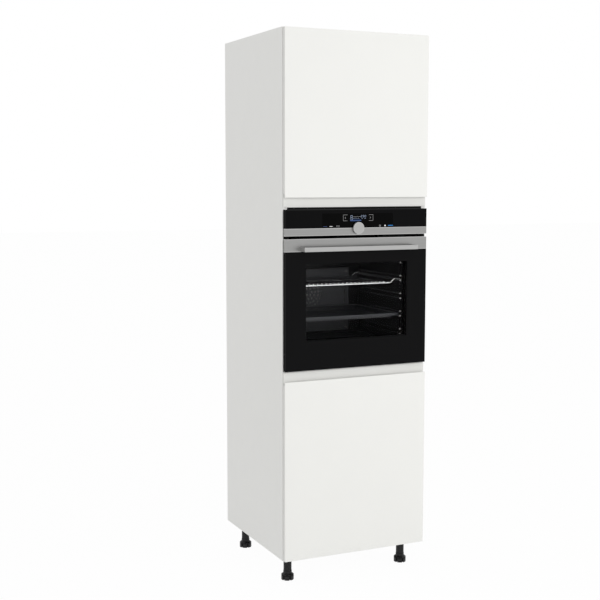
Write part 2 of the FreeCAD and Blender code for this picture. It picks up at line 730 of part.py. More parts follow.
bracket_places = (-(bracket_spacing / 2), bracket_spacing / 2)
bracket_screw = panel_depth - bracket_hole
under_top = carcass_top - board
bracket_holes = []
for x in bracket_places:
    for way in (-1, 1):
        spot = (x + way * bracket_width / 4, bracket_screw, under_top)
        bracket_holes.append(rod("bracket_screw_hole", spot,
                                 screw_length - bracket_sheet + play,
                                 screw_radius + snug, "Z"))
        screw((spot[0], spot[1], under_top - bracket_sheet), "+Z")

extras = {"bottom_panel": leg_holes, "top_panel": bracket_holes}
for name, level, depth in fixed_boards:
    fixed_board(name, level, depth, extras.get(name, []))

keep(group("cam_fittings", cams + bolts_made))
keep(group("dowels", dowels_made))

# Back boards slide in the side grooves, one behind each cupboard.
back_half = inner + groove_depth - play
keep(block("back_lower", (-back_half, back_plane, leg_height),
           (back_half, back_plane + back_board, niche_floor)))
upper_back = block("back_upper_blank", (-back_half, back_plane, niche_roof),
                   (back_half, back_plane + back_board, carcass_top))
wall_level = under_top - wall_drop
wall_holes = [rod("back_wall_hole", (x, back_plane, wall_level), back_board, wall_hole, "Y")
              for x in bracket_places]
keep(cut("back_upper", upper_back, wall_holes))

# Loose shelves rest on four pins each.
pins = []
for name, level in loose_shelves:
    end = inner - shelf_play
    keep(block(name, (-end, shelf_setback, level), (end, panel_depth - play, level + board)))
    for side in (-1, 1):
        for y in pin_rows:
            pins.append(cross_rod(name + "_pin", side, inner - pin_reach, inner + pin_bite,
                                  y, level - pin_radius, pin_radius))
keep(group("shelf_pins", pins))

# Angle brackets that hold the unit to the wall, under the top panel.
brackets = []
for x in bracket_places:
    left = x - bracket_width / 2
    right = x + bracket_width / 2
    flat = block("bracket_flat", (left, panel_depth - bracket_leg, under_top - bracket_sheet),
                 (right, panel_depth, under_top))
    upright = block("bracket_upright", (left, panel_depth - bracket_sheet, under_top - bracket_leg),
                    (right, panel_depth, under_top))
    angle = join("bracket_angle", [flat, upright])
    holes = [rod("bracket_wall_hole", (x, panel_depth - bracket_sheet, wall_level),
                 bracket_sheet, wall_hole, "Y")]
    for way in (-1, 1):
        holes.append(rod("bracket_hole", (x + way * bracket_width / 4, bracket_screw,
                                          under_top - bracket_sheet),
                         bracket_sheet, screw_radius + snug, "Z"))
    brackets.append(cut("bracket", angle, holes))
keep(group("wall_brackets", brackets))


# ---------------------------------------------------------------- legs and feet

def leg(label, x, y):
    """A ribbed leg tube under a square flange, bored for the foot's stem."""
    tube_low = foot_height + foot_seat
    tube_top = leg_height - leg_plate
    half_flange = leg_flange / 2
    plate = block(label + "_flange", (x - half_flange, y - half_flange, tube_top),
                  (x + half_flange, y + half_flange, leg_height))
    parts = [plate, rod(label + "_tube", (x, y, tube_low), tube_top - tube_low, leg_radius, "Z")]
    for rib in range(leg_ribs):
        angle = 2 * math.pi * rib / leg_ribs
        centre_x = x + leg_radius * math.cos(angle)
        centre_y = y + leg_radius * math.sin(angle)
        parts.append(rod(label + "_rib", (centre_x, centre_y, tube_low),
                         tube_top - tube_low, leg_rib, "Z"))
    holes = [rod(label + "_bore", (x, y, tube_low), stem_top - foot_height + stem_room,
                 stem_radius + stem_play, "Z")]
    for u in (-1, 1):
        for v in (-1, 1):
            holes.append(rod(label + "_hole", (x + u * leg_screw, y + v * leg_screw, tube_top),
                             leg_plate, screw_radius + snug, "Z"))
    return keep(cut(label, join(label + "_solid", parts), holes))


def foot(label, x, y):
    """A levelling foot: notched base, cone, collar and stem, turned about Z."""
    body = new_body(label)
    waist = foot_radius - groove_bite
    profile = outline(body, "XZ_Plane", label + "_profile", (
        (0, 0), (foot_radius, 0), (foot_radius, foot_groove - groove_half),
        (waist, foot_groove - groove_half), (waist, foot_groove + groove_half),
        (foot_radius, foot_groove + groove_half), (foot_radius, foot_rim),
        (foot_collar, foot_slope), (foot_collar, foot_height), (stem_radius, foot_height),
        (stem_radius, stem_top), (0, stem_top)))
    spin(body, profile, "V_Axis")
    inside = foot_radius - lobe_depth
    outside = foot_radius + lobe_depth
    notch_outline = outline(body, "XY_Plane", label + "_notch", (
        (inside, -(lobe_gap / 2)), (outside, -(lobe_gap / 2)),
        (outside, lobe_gap / 2), (inside, lobe_gap / 2)))
    notch = pocket(body, notch_outline, lobe_height, backwards=True)
    ring = body.newObject("PartDesign::PolarPattern", label + "_lobes")
    ring.Originals = [notch]
    ring.Axis = (notch_outline, ["N_Axis"])
    ring.Angle = 360
    ring.Occurrences = foot_lobes
    body.Tip = ring
    body.Placement.Rotation = FreeCAD.Rotation(Vector(0, 0, 1), 180 / foot_lobes)
    put(body, x, y, 0)
    return keep(body)


for row, y in leg_rows:
    for side_name, side in leg_sides:
        leg(f"leg_{row}_{side_name}", side * leg_place, y)
        foot(f"foot_{row}_{side_name}", side * leg_place, y)


# ---------------------------------------------------------------- doors

door_half = half - door_reveal
cup_place = door_half - cup_inset


def handleless_door(label, low, height, grip_on_top, hinges):
    """A door slab with a finger channel milled along one horizontal edge."""
    body = new_body(label)
    face = -door_thickness
    nose = grip_nose - door_thickness
    corners = [(0, 0), (face, 0), (face, height - grip_height), (nose, height - grip_height),
               (nose, height - grip_height - grip_channel),
               (-grip_lip, height - grip_height - grip_channel), (-grip_lip, height), (0, height)]
    if not grip_on_top:
        corners = [(y, height - z) for y, z in corners]
    profile = outline(body, "YZ_Plane", label + "_profile", corners)
    slab = pad(body, profile, 2 * door_half, midplane=True)
    cups = circle(body, "XZ_Plane", label + "_cups",
                  [(cup_place, level - low) for level in hinges], cup_radius + snug)
    bored = pocket(body, cups, cup_depth + snug, backwards=True)
    channel = height - grip_height - grip_channel
    nose_edge = height - grip_height
    if not grip_on_top:
        channel = height - channel
        nose_edge = height - nose_edge
    def in_channel(point, way):
        return same(point.z, channel) and abs(way.x) > 0.9
    def on_nose(point, way):
        return same(point.z, nose_edge) and abs(way.x) > 0.9 and same(point.y, nose)
    def on_face(point, way):
        return same(point.y, face)
    step = soften(body, bored, grip_round, in_channel)
    step = soften(body, step, nose_round, on_nose)
    step = soften(body, step, door_round, on_face)
    body.Tip = step
    put(body, 0, -door_gap, low)
    return keep(body)


handleless_door("lower_door", leg_height, lower_door_height, True, lower_hinges)
handleless_door("upper_door", upper_door_low, upper_door_height, False, upper_hinges)


def hinge_cup(label, level):
    """A round cup let into the door's back, with a flange on the back face."""
    body_y = -door_gap
    shell = rod(label + "_shell", (cup_place, body_y - cup_depth, level), cup_depth, cup_radius, "Y")
    reach = inner - cup_place - play
    flange = block(label + "_flange", (cup_place - cup_radius, body_y, level - cup_flange / 2),
                   (cup_place + reach, body_y + cup_wall, level + cup_flange / 2))
    hollow = rod(label + "_hollow", (cup_place, body_y - cup_depth + cup_wall, level),
                 cup_depth, cup_radius - cup_wall, "Y")
    return cut(label, join(label + "_solid", [shell, flange]), [hollow])


keep(group("lower_hinge_cups", [hinge_cup("lower_cup", level) for level in lower_hinges]))
keep(group("upper_hinge_cups", [hinge_cup("upper_cup", level) for level in upper_hinges]))

arms = []
plates = []
for level in lower_hinges + upper_hinges:
    arm_outer = inner - plate_rise
    arm_inner = arm_outer - arm_width
    nose_start = arm_inner + (arm_width - nose_width) / 2
    arm = block("arm_body", (arm_inner, arm_clear, level - arm_height / 2),
                (arm_outer, arm_reach, level + arm_height / 2))
    nose = block("arm_tip", (nose_start, -arm_nose, level - nose_height / 2),
                 (nose_start + nose_width, arm_clear, level + nose_height / 2))
    arms.append(join("arm", [arm, nose]))
    plate_end = plate_start + plate_length
    rise = block("plate_rise", (inner - plate_rise, plate_start, level - arm_height / 2),
                 (inner, plate_end, level + arm_height / 2))
    wings = block("plate_wings", (inner - plate_wing, plate_start, level - wing_height / 2),
                  (inner, plate_start + wing_length, level + wing_height / 2))
    holes = []
    for way in (-1, 1):
        spot = (inner - plate_wing, plate_start + wing_length / 2, level + way * wing_screw)
        holes.append(rod("plate_hole", spot, plate_wing, screw_radius + snug, "X"))
        screw(spot, "+X")
    plates.append(cut("plate", join("plate_solid", [rise, wings]), holes))
keep(group("hinge_arms", arms))
keep(group("hinge_plates", plates))
keep(group("wood_screws", screws))

bumpers = []
for level in (leg_height + bumper_inset, niche_floor - board - bumper_inset,
              niche_roof + board + bumper_inset, carcass_top - bumper_inset):
    bumpers.append(rod("bumper", (-(inner + board / 2), -bumper_rise, level),
                       bumper_rise, bumper_radius, "Y"))
keep(group("door_bumpers", bumpers))


# ---------------------------------------------------------------- oven box

casing_half = casing_width / 2
lining = casing_half - casing_sheet
casing_floor = niche_floor + casing_sheet
casing_blank = block("casing_box", (-casing_half, 0, niche_floor),
                     (casing_half, casing_depth, casing_top))
casing_frame = block("casing_frame", (-(front_width / 2), -flange_sheet, oven_bottom),
                     (front_width / 2, 0, oven_top))
casing_cover = block("casing_cover", (-(inner - play), -flange_sheet, oven_top),
                     (inner - play, 0, upper_door_low - lid_gap))
casing_holes = [block("casing_room", (-lining, -flange_sheet, casing_floor),
                      (lining, casing_depth - casing_sheet, casing_top - casing_sheet))]
for index in range(vent_slots):
    middle = (index - (vent_slots - 1) / 2) * slot_pitch
    casing_holes.append(block("casing_slot",
                              (middle - slot_width / 2, casing_depth - casing_sheet,
                               casing_top - slot_drop),
                              (middle + slot_width / 2, casing_depth,
                               casing_top - slot_drop + slot_height)))
fixings = []
for side in (-1, 1):
    for level in fix_levels:
        casing_holes.append(rod("casing_fix_hole", (side * fix_place, -flange_sheet, level),
                                flange_sheet, fix_radius + snug, "Y"))
        shank = rod("fix_shank", (side * fix_place, -flange_sheet, level), fix_length,
                    fix_radius, "Y")
        head = rod("fix_cap", (side * fix_place, -(flange_sheet + fix_cap), level), fix_cap,
                   fix_head, "Y")
        fixings.append(join("fixing", [shank, head]))
keep(cut("oven_casing", join("casing_solid", [casing_blank, casing_frame, casing_cover]), casing_holes))
keep(group("oven_fixing_screws", fixings))

shell_half = cavity_half + cavity_sheet
cavity_plate = block("cavity_plate", (-(lining - play), cavity_front, casing_floor),
                     (lining - play, cavity_front + cavity_sheet, cavity_roof + plate_top))
cavity_box = block("cavity_box",
                   (-shell_half, cavity_front, cavity_floor - cavity_sheet),
                   (shell_half, cavity_back + cavity_sheet, cavity_roof + cavity_sheet))
cavity_room = block("cavity_room", (-cavity_half, cavity_front, cavity_floor),
                    (cavity_half, cavity_back, cavity_roof))
cavity_shaft = rod("cavity_shaft", (0, cavity_back, fan_level), cavity_sheet, shaft_hole, "Y")
keep(cut("oven_cavity", join("cavity_solid", [cavity_plate, cavity_box]),
         [cavity_room, cavity_shaft]))

seal_y = cavity_front - seal_rise
seal_blank = block("seal_blank",
                   (-(shell_half + seal_width), seal_y, cavity_floor - cavity_sheet - seal_width),
                   (shell_half + seal_width, cavity_front,
                    cavity_roof + cavity_sheet + seal_width))
seal_hole = block("seal_hole", (-shell_half, seal_y, cavity_floor - cavity_sheet),
                  (shell_half, cavity_front, cavity_roof + cavity_sheet))
keep(cut("oven_door_seal", seal_blank, [seal_hole]))

wool_blank = block("wool_blank",
                   (-(shell_half + wool), cavity_front + cavity_sheet, casing_floor),
                   (shell_half + wool, cavity_back + wool_back, cavity_roof + wool_top))
wool_room = block("wool_room",
                  (-shell_half, cavity_front + cavity_sheet, cavity_floor - cavity_sheet),
                  (shell_half, cavity_back + cavity_sheet, cavity_roof + cavity_sheet))
wool_motor = rod("wool_motor", (0, cavity_back + cavity_sheet, fan_level), wool_back,
                 motor_radius + play, "Y")
keep(cut("oven_insulation", wool_blank, [wool_room, wool_motor]))

# Wire side rails: pairs of level wires on two posts, pegged to the wall.
rail_front_y = cavity_front + rail_start
rail_length = cavity_back - rail_end - rail_front_y
rail_pitch = (cavity_height - rail_first - rail_head) / (rail_levels - 1)


def rail_level_z(level):
    return cavity_floor + rail_first + level * rail_pitch


def rail(label, side):
    """One side rail, fused from its wires."""
    wires = []
    wire_x = side * (cavity_half - rail_inset)
    post_x = side * (cavity_half - post_inset)
    for level in range(rail_levels):
        wires.append(rod(label + "_low", (wire_x, rail_front_y, rail_level_z(level)),
                         rail_length, wire, "Y"))
        if level < rail_levels - 1:
            wires.append(rod(label + "_high",
                             (wire_x, rail_front_y, rail_level_z(level) + rail_pair),
                             rail_length, wire, "Y"))
    post_low = rail_level_z(0) - post_spare
    post_height = rail_level_z(rail_levels - 1) + post_spare - post_low
    for y in (rail_front_y + post_shift, rail_front_y + rail_length - post_shift):
        wires.append(rod(label + "_post", (post_x, y, post_low), post_height, wire, "Z"))
        for level in (0, rail_levels - 2):
            peg_z = rail_level_z(level) + rail_pair / 2
            wires.append(cross_rod(label + "_peg", side, cavity_half - post_inset, cavity_half,
                                   y, peg_z, wire))
    return join(label, wires)


keep(group("rack_rails", [rail("rail_left", -1), rail("rail_right", 1)]))

# Wire rack: side bars on the rails, front and rear bars that dip between them.
bar_x = cavity_half - rack_inset
bar_z = rail_level_z(rack_level) + wire + run_gap + rack_bar
grid_z = bar_z - rack_drop
rack_y = cavity_front + rack_front
rack_end = cavity_back - fan_box_depth - rack_clear
rack_depth = rack_end - rack_y
rack_wires = 2 * int(number(bar_x - rack_bend) / number(rack_pitch)) - 1
wire_z = grid_z + rack_bar + rack_wire - rack_weld


def dipped_bar(label, y):
    """A frame wire bent down at both ends into the plane of the grid."""
    span = 2 * (bar_x - rack_bend)
    parts = [rod(label + "_flat", (-(bar_x - rack_bend), y, grid_z), span, rack_bar, "X")]
    slope = math.atan2(number(rack_drop), number(rack_ramp))
    ramp_end = bar_x - rack_bend + rack_ramp
    for side in (-1, 1):
        ramp = doc.addObject("Part::Cylinder", label + "_ramp")
        bind(ramp, "Radius", rack_bar)
        bind(ramp, "Height", math.hypot(number(rack_drop), number(rack_ramp)))
        turn = FreeCAD.Rotation(Vector(0, 1, 0), side * (90 - math.degrees(slope)))
        ramp.Placement.Rotation = turn
        put(ramp, side * (bar_x - rack_bend), y, grid_z)
        parts.append(ramp)
        parts.append(cross_rod(label + "_end", side, ramp_end, bar_x, y, bar_z, rack_bar))
        for x, z in ((bar_x - rack_bend, grid_z), (ramp_end, bar_z), (bar_x, bar_z)):
            ball = doc.addObject("Part::Sphere", label + "_bend")
            bind(ball, "Radius", rack_bar)
            put(ball, side * x, y, z)
            parts.append(ball)
    return parts


rack_parts = dipped_bar("rack_front", rack_y) + dipped_bar("rack_back", rack_y + rack_depth)
for side in (-1, 1):
    rack_parts.append(rod("rack_side", (side * bar_x, rack_y, bar_z), rack_depth, rack_bar, "Y"))
for index in range(rack_wires):
    x = (index - (rack_wires - 1) / 2) * rack_pitch
    rack_parts.append(rod("rack_wire", (x, rack_y - rack_bar, wire_z),
                          rack_depth + 2 * rack_bar, rack_wire, "Y"))
rack_parts.append(rod("rack_middle", (-(bar_x - rack_bend), rack_y + rack_depth / 2, grid_z),
                      2 * (bar_x - rack_bend), rack_bar, "X"))
keep(join("wire_rack", rack_parts))

# Baking tray: a dish with a flat rim whose folded edge rides on the rails.
tray_half = cavity_half - tray_edge
tray_z = rail_level_z(tray_level) + wire + run_gap
tray_y = cavity_front + tray_front
tray_depth = rack_end - tray_y


def tray():
    body = new_body("baking_tray")
    rim = outline(body, "XY_Plane", "tray_rim_outline",
                  ((-tray_half, 0), (tray_half, 0), (tray_half, tray_depth),
                   (-tray_half, tray_depth)))
    slab = pad(body, rim, tray_bead)
    pan_half = tray_half - tray_rim
    pan = outline(body, "XY_Plane", "tray_pan_outline",
                  ((-pan_half, tray_rim), (pan_half, tray_rim),
                   (pan_half, tray_depth - tray_rim), (-pan_half, tray_depth - tray_rim)))
    deep = pad(body, pan, tray_deep - tray_bead, backwards=True)
    def upright(point, way):
        return abs(way.z) > 0.9
    rounded = soften(body, deep, tray_round, upright)
    body.Tip = rounded
    hollow_tray(body, pan_half)
    put(body, 0, tray_y, tray_z)
    return keep(body)


def hollow_tray(body, pan_half):
    """Take out the dish from above and the space under the rim from below."""
    step = pan_half - tray_sheet
    dish = outline(body, "XY_Plane", "tray_dish_outline",
                   ((-step, tray_rim + tray_sheet), (step, tray_rim + tray_sheet),
                    (step, tray_depth - tray_rim - tray_sheet),
                    (-step, tray_depth - tray_rim - tray_sheet)))
    bind(dish, "AttachmentOffset.Base.z", tray_bead)
    pocket(body, dish, tray_deep - tray_sheet)
    edge = tray_half - tray_sheet
    ring = outline(body, "XY_Plane", "tray_ring_outline",
                   ((-edge, tray_sheet), (edge, tray_sheet),
                    (edge, tray_depth - tray_sheet), (-edge, tray_depth - tray_sheet)))
    add_loop(ring, ((-pan_half, tray_rim), (pan_half, tray_rim),
                    (pan_half, tray_depth - tray_rim), (-pan_half, tray_depth - tray_rim)))
    body.Tip = pocket(body, ring, tray_bead - tray_sheet, backwards=True)


def add_loop(sketch, corners):
    """A second closed loop of straight lines in a sketch."""
    base = sketch.GeometryCount
    points = [Vector(number(u), number(v), 0) for u, v in corners]
    count = len(points)
    for index in range(count):
        sketch.addGeometry(Part.LineSegment(points[index], points[(index + 1) % count]))
    for index in range(count):
        rule = Sketcher.Constraint("Coincident", base + index, 2, base + (index + 1) % count, 1)
        sketch.addConstraint(rule)
    for index, (u, v) in enumerate(corners):
        fix_point(sketch, base + index, 1, u, v)


tray()


# ---------------------------------------------------------------- oven heat and air

cover_front = cavity_back - fan_box_depth
cover_half = cavity_half - cover_side
cover_low = cavity_floor + cover_rise
cover_high = cavity_roof - cover_drop
cover_middle = (cover_low + cover_high) / 2
cover_blank = block("cover_blank",
                    (-cover_half, cover_front, cover_low),
                    (cover_half, cavity_back, cover_high))
cover_room = block("cover_room",
                   (-(cover_half - fan_box_wall), cover_front + fan_box_wall,
                    cover_low + fan_box_wall),
                   (cover_half - fan_box_wall, cavity_back, cover_high - fan_box_wall))
cover_holes = [cover_room]
for mouth_ring in range(1, mouth_rings + 1):
    for index in range(6 * mouth_ring):
        angle = math.pi * index / (3 * mouth_ring)
        x = mouth_ring * mouth_pitch * math.cos(angle)
        z = fan_level + mouth_ring * mouth_pitch * math.sin(angle)
        cover_holes.append(rod("cover_hole", (x, cover_front, z), fan_box_wall, fan_hole, "Y"))
for side in (-1, 1):
    for row in range(-3, 4):
        slot_x = side * (cover_half - outlet_inset)
        slot_z = cover_middle + row * outlet_pitch
        cover_holes.append(block("cover_slot",
                                 (slot_x - fan_hole / 2, cover_front, slot_z - outlet_half),
                                 (slot_x + fan_hole / 2, cover_front + fan_box_wall,
                                  slot_z + outlet_half)))
keep(cut("fan_cover", cover_blank, cover_holes))

wheel_back = cavity_back - fan_gap
wheel_parts = [
    rod("wheel_plate", (0, wheel_back - fan_plate, fan_level), fan_plate, fan_radius, "Y"),
    rod("wheel_shaft", (0, wheel_back - fan_plate - fan_blade, fan_level),
        shaft_length + fan_plate + fan_blade, shaft_radius, "Y"),
]
for index in range(fan_blades):
    blade = doc.addObject("Part::Box", "wheel_blade")
    bind(blade, "Length", blade_length)
    bind(blade, "Width", fan_blade)
    bind(blade, "Height", fan_plate)
    angle = 360 * index / fan_blades
    blade.Placement.Rotation = FreeCAD.Rotation(Vector(0, 1, 0), -angle)
    reach = fan_radius - blade_length - fan_plate
    put(blade, reach * math.cos(math.radians(angle)),
        wheel_back - fan_plate - fan_blade,
        fan_level + reach * math.sin(math.radians(angle)))
    wheel_parts.append(blade)
keep(join("fan_wheel", wheel_parts))

motor_y = cavity_back + cavity_sheet
motor = rod("motor_can", (0, motor_y, fan_level), motor_length, motor_radius, "Y")
motor_bore = rod("motor_bore", (0, motor_y, fan_level), shaft_length + play,
                 shaft_radius + shaft_play, "Y")
keep(cut("fan_motor", motor, [motor_bore]))

ring_heater = doc.addObject("Part::Torus", "ring_loop")
bind(ring_heater, "Radius1", ring_radius)
bind(ring_heater, "Radius2", heater_wire)
ring_heater.Placement.Rotation = TURNS["Y"]
put(ring_heater, 0, cavity_back - ring_gap, fan_level)
leg_way = math.radians(ring_leg_turn)
ring_legs = [rod("ring_leg", (side * ring_radius * math.sin(leg_way), cavity_back - ring_gap,
                              fan_level + ring_radius * math.cos(leg_way)),
                 ring_gap, ring_leg_wire, "Y")
             for side in (-1, 1)]
keep(join("ring_heater", [ring_heater] + ring_legs))

# Grill heater: one tube folded back and forth under the cavity roof.
grill_z = cavity_roof - grill_drop
grill_half = cavity_half - grill_side
grill_pitch = 2 * grill_half / (grill_runs - 1)
grill_bend = grill_pitch / 2
grill_low = cavity_front + grill_front
grill_parts = []
for index in range(grill_runs):
    x = index * grill_pitch - grill_half
    last = index in (0, grill_runs - 1)
    start = grill_low + grill_bend
    end = cavity_back if last else cavity_back - fan_box_depth - grill_bend
    grill_parts.append(rod("grill_run", (x, start, grill_z), end - start, heater_wire, "Y"))
    if index < grill_runs - 1:
        loop = doc.addObject("Part::Torus", "grill_bend")
        bind(loop, "Radius1", grill_bend)
        bind(loop, "Radius2", heater_wire)
        loop.Angle3 = 180
        forward = index % 2 == 0
        loop.Placement.Rotation = FreeCAD.Rotation(Vector(0, 0, 1), 180 if forward else 0)
        put(loop, x + grill_bend, start if forward else cavity_back - fan_box_depth - grill_bend,
            grill_z)
        grill_parts.append(loop)
keep(join("grill_heater", grill_parts))

keep(rod("oven_lamp", (-(cavity_half - lamp_inset), cavity_back - lamp_rise,
                       cavity_roof - lamp_inset), lamp_rise, lamp_radius, "Y"))

blower_z = cavity_roof + wool_top
blower_half = casing_half - blower_side
blower_end = blower_front + blower_depth
blower_blank = block("blower_blank", (-blower_half, blower_front, blower_z),
                     (blower_half, blower_end, blower_z + blower_height))
blower_room = block("blower_room", (-(blower_half - blower_wall), blower_front,
                                    blower_z + blower_wall),
                    (blower_half - blower_wall, blower_end - blower_wall,
                     blower_z + blower_height - blower_wall))
roller_y = blower_front + blower_depth / 2
roller_z = blower_z + blower_height / 2
axle_holes = rod("blower_bearing", (-blower_half, roller_y, roller_z), (2 * blower_half),
                 roller_axle + shaft_play, "X")
keep(cut("cooling_blower", blower_blank, [blower_room, axle_holes]))
roller_half = blower_half - blower_wall - roller_gap
roller = rod("roller_drum", (-roller_half, roller_y, roller_z), 2 * roller_half,
             roller_radius, "X")
axle = rod("roller_axle", (-blower_half, roller_y, roller_z), (2 * blower_half), roller_axle, "X")
keep(join("blower_roller", [roller, axle]))

terminal_z = casing_top - terminal_drop
terminal_place = casing_half - terminal_inset
terminal_rear = casing_depth + terminal_depth
terminal_blank = block("terminal_blank",
                       (terminal_place - terminal_width / 2, casing_depth, terminal_z),
                       (terminal_place + terminal_width / 2, terminal_rear,
                        terminal_z + terminal_height))
terminal_inlet = rod("terminal_inlet", (terminal_place, terminal_rear - inlet_depth,
                                        terminal_z + terminal_height / 2),
                     inlet_depth, inlet_radius, "Y")
keep(cut("mains_terminal", terminal_blank, [terminal_inlet]))


# ---------------------------------------------------------------- control panel

panel_half = front_width / 2
fascia = block("fascia_blank", (-panel_half, -front_reach, fascia_bottom),
               (panel_half, panel_back, oven_top))
knob_way = rod("fascia_hole", (0, -front_reach, knob_level), glass, knob_hole, "Y")
keep(cut("fascia_glass", fascia, [knob_way]))


def steel_strip(label, low, high, back_fold, holes):
    """A folded steel strip: front sheet with a return along each of its four edges."""
    body = new_body(label + "_sheet")
    tall = high - low
    skin = strip_sheet
    profile = outline(body, "YZ_Plane", label + "_profile", (
        (0, 0), (glass, 0), (glass, skin), (skin, skin), (skin, tall - skin),
        (back_fold, tall - skin), (back_fold, tall), (0, tall)))
    sheet_pad = pad(body, profile, front_width, midplane=True)
    if holes:
        hole = circle(body, "XZ_Plane", label + "_hole", holes, knob_hole)
        sheet_pad = pocket(body, hole, glass)
    def on_front(point, way):
        return same(point.y, 0) and abs(way.x) > 0.9
    body.Tip = soften(body, sheet_pad, edge_round, on_front)
    put(body, 0, -front_reach, low)
    ends = []
    for start in (-panel_half, panel_half - skin):
        ends.append(block(label + "_end", (start, edge_round - front_reach, low),
                          (start + skin, -(flange_sheet + fold_gap), high)))
    return keep(join(label, [body] + ends))


steel_strip("fascia_strip", strip_bottom, fascia_bottom, glass, [(0, knob_level - strip_bottom)])

housing_half = panel_half - frame_inset
housing_low = strip_bottom + frame_foot
housing_top = oven_top - frame_foot
front_plate = block("housing_plate", (-housing_half, panel_back, housing_low),
                    (housing_half, panel_back + frame_plate, housing_top))
box_half = casing_half - box_inset
box_top = casing_top - casing_sheet - frame_foot
rear_box = block("housing_box", (-box_half, panel_back, housing_low),
                 (box_half, frame_depth, box_top))
side_walls = []
for side in (-1, 1):
    wall_x = housing_half - frame_wall if side > 0 else -housing_half
    side_walls.append(block("housing_side", (wall_x, panel_back, housing_low),
                            (wall_x + frame_wall, -flange_sheet, housing_top)))
housing_room = block("housing_room",
                     (-(box_half - frame_wall), panel_back + frame_plate,
                      housing_low + frame_wall),
                     (box_half - frame_wall, frame_depth, box_top - frame_wall))
display_half = display_width / 2
display_middle = oven_top - display_drop
display_low = display_middle - display_height / 2
display_high = display_middle + display_height / 2
display_window = block("housing_window", (-(display_half + play), panel_back, display_low - play),
                       (display_half + play, panel_back + frame_plate, display_high + play))
shaft_window = rod("housing_shaft", (0, panel_back, knob_level), frame_plate, knob_hole, "Y")
keep(cut("control_housing", join("housing_solid", [front_plate, rear_box] + side_walls),
         [housing_room, display_window, shaft_window]))
keep(block("display_module", (-display_half, panel_back, display_low),
           (display_half, panel_back + display_depth, display_high)))
encoder_y = panel_back + frame_plate
encoder = block("encoder_blank", (-(encoder_side / 2), encoder_y, knob_level - encoder_side / 2),
                (encoder_side / 2, encoder_y + encoder_depth, knob_level + encoder_side / 2))
encoder_bore = rod("encoder_bore", (0, encoder_y, knob_level), encoder_depth,
                   shaft_radius + shaft_play, "Y")
keep(cut("knob_switch", encoder, [encoder_bore]))


def control_knob():
    """A turned knob with a softened front edge on a plain shaft, along Y."""
    body = new_body("control_knob")
    tall = knob_rise - knob_gap
    chamfer = edge_round * 2
    profile = outline(body, "YZ_Plane", "knob_profile", (
        (0, 0), (0, knob_radius - chamfer), (chamfer, knob_radius), (tall, knob_radius),
        (tall, shaft_radius), (tall + knob_shaft, shaft_radius), (tall + knob_shaft, 0)))
    body.Tip = spin(body, profile, "H_Axis")
    put(body, 0, -(front_reach + knob_rise), knob_level)
    return keep(body)


control_knob()


# ---------------------------------------------------------------- oven door

outer_glass = block("oven_door_glass", (-panel_half, -front_reach, door_bottom),
                    (panel_half, panel_back, trim_bottom))
keep(outer_glass)
steel_strip("oven_door_strip", trim_bottom, door_top, trim_return, [])

inner_y = seal_y - seal_gap
frame_half = panel_half - frame_side
frame_bottom = door_bottom + frame_low
frame_high = door_top - frame_top
window_low = cavity_floor + window_sill
window_high = cavity_roof - window_head
window_half = cavity_half - window_side
middle_y = middle_pane - front_reach
inner_glass_y = inner_y - glass


def ring(label, grow, start, end):
    """The window's outline, enlarged and carried from one depth to another."""
    return block(label, (-(window_half + grow), start, window_low - grow),
                 (window_half + grow, end, window_high + grow))


frame_blank = block("door_frame_blank", (-frame_half, panel_back, frame_bottom),
                    (frame_half, inner_y, frame_high))
middle_grow = pane_step
inner_grow = 2 * pane_step
skin_grow = middle_grow + play + frame_skin
hollow_outer = block("door_frame_hollow",
                     (-(frame_half - frame_skin), panel_back, frame_bottom + frame_skin),
                     (frame_half - frame_skin, inner_glass_y - frame_skin,
                      frame_high - frame_skin))
hollow_ring = cut("door_frame_channel", hollow_outer,
                  [ring("door_frame_core", skin_grow, panel_back, inner_glass_y - frame_skin)])
knuckle_y = pivot_depth - front_reach
knuckle_z = door_bottom + pivot_rise
lugs = []
pins_bore = []
for side in (-1, 1):
    near = frame_half - knuckle_width
    far = frame_half
    lugs.append(cross_rod("door_knuckle", side, near, far, knuckle_y, knuckle_z, knuckle))
    start = near if side > 0 else -far
    lugs.append(block("door_lug", (start, knuckle_y - knuckle, knuckle_z),
                      (start + knuckle_width, knuckle_y + knuckle, frame_bottom)))
    pins_bore.append(cross_rod("door_knuckle_bore", side, near, far, knuckle_y, knuckle_z,
                               pivot_pin + pivot_play))
frame_solid = join("door_frame_solid", [frame_blank] + lugs)
keep(cut("oven_door_frame", frame_solid,
         [hollow_ring, ring("door_frame_window", 0, panel_back, middle_y),
          ring("door_frame_middle", middle_grow + play, middle_y, inner_glass_y),
          ring("door_frame_inner", inner_grow + play, inner_glass_y, inner_y)] + pins_bore))
keep(ring("oven_door_middle_glass", middle_grow, middle_y, middle_y + glass))
keep(ring("oven_door_inner_glass", inner_grow, inner_glass_y, inner_y))

# Fixed hinge ears with pins, on the casing's front frame.  An ear is rounded
# below the pivot, inside the arc that the outer glass sweeps.
ears = []
ear_lap = pivot_depth - glass - ear_play
for side in (-1, 1):
    ear_near = frame_half + ear_gap
    ear_start = ear_near if side > 0 else -(ear_near + ear_sheet)
    hub = cross_rod("hinge_hub", side, ear_near, ear_near + ear_sheet, knuckle_y, knuckle_z,
                    ear_lap)
    tall = block("hinge_ear", (ear_start, knuckle_y - ear_lap, knuckle_z),
                 (ear_start + ear_sheet, -flange_sheet, knuckle_z - ear_lap + ear_height))
    low = block("hinge_heel", (ear_start, knuckle_y, knuckle_z - ear_lap),
                (ear_start + ear_sheet, -flange_sheet, knuckle_z))
    pin = cross_rod("hinge_pin", side, frame_half - knuckle_width, ear_near + ear_sheet,
                    knuckle_y, knuckle_z, pivot_pin)
    ears.append(join("hinge_ear_solid", [hub, tall, low, pin]))
keep(group("oven_door_hinges", ears))


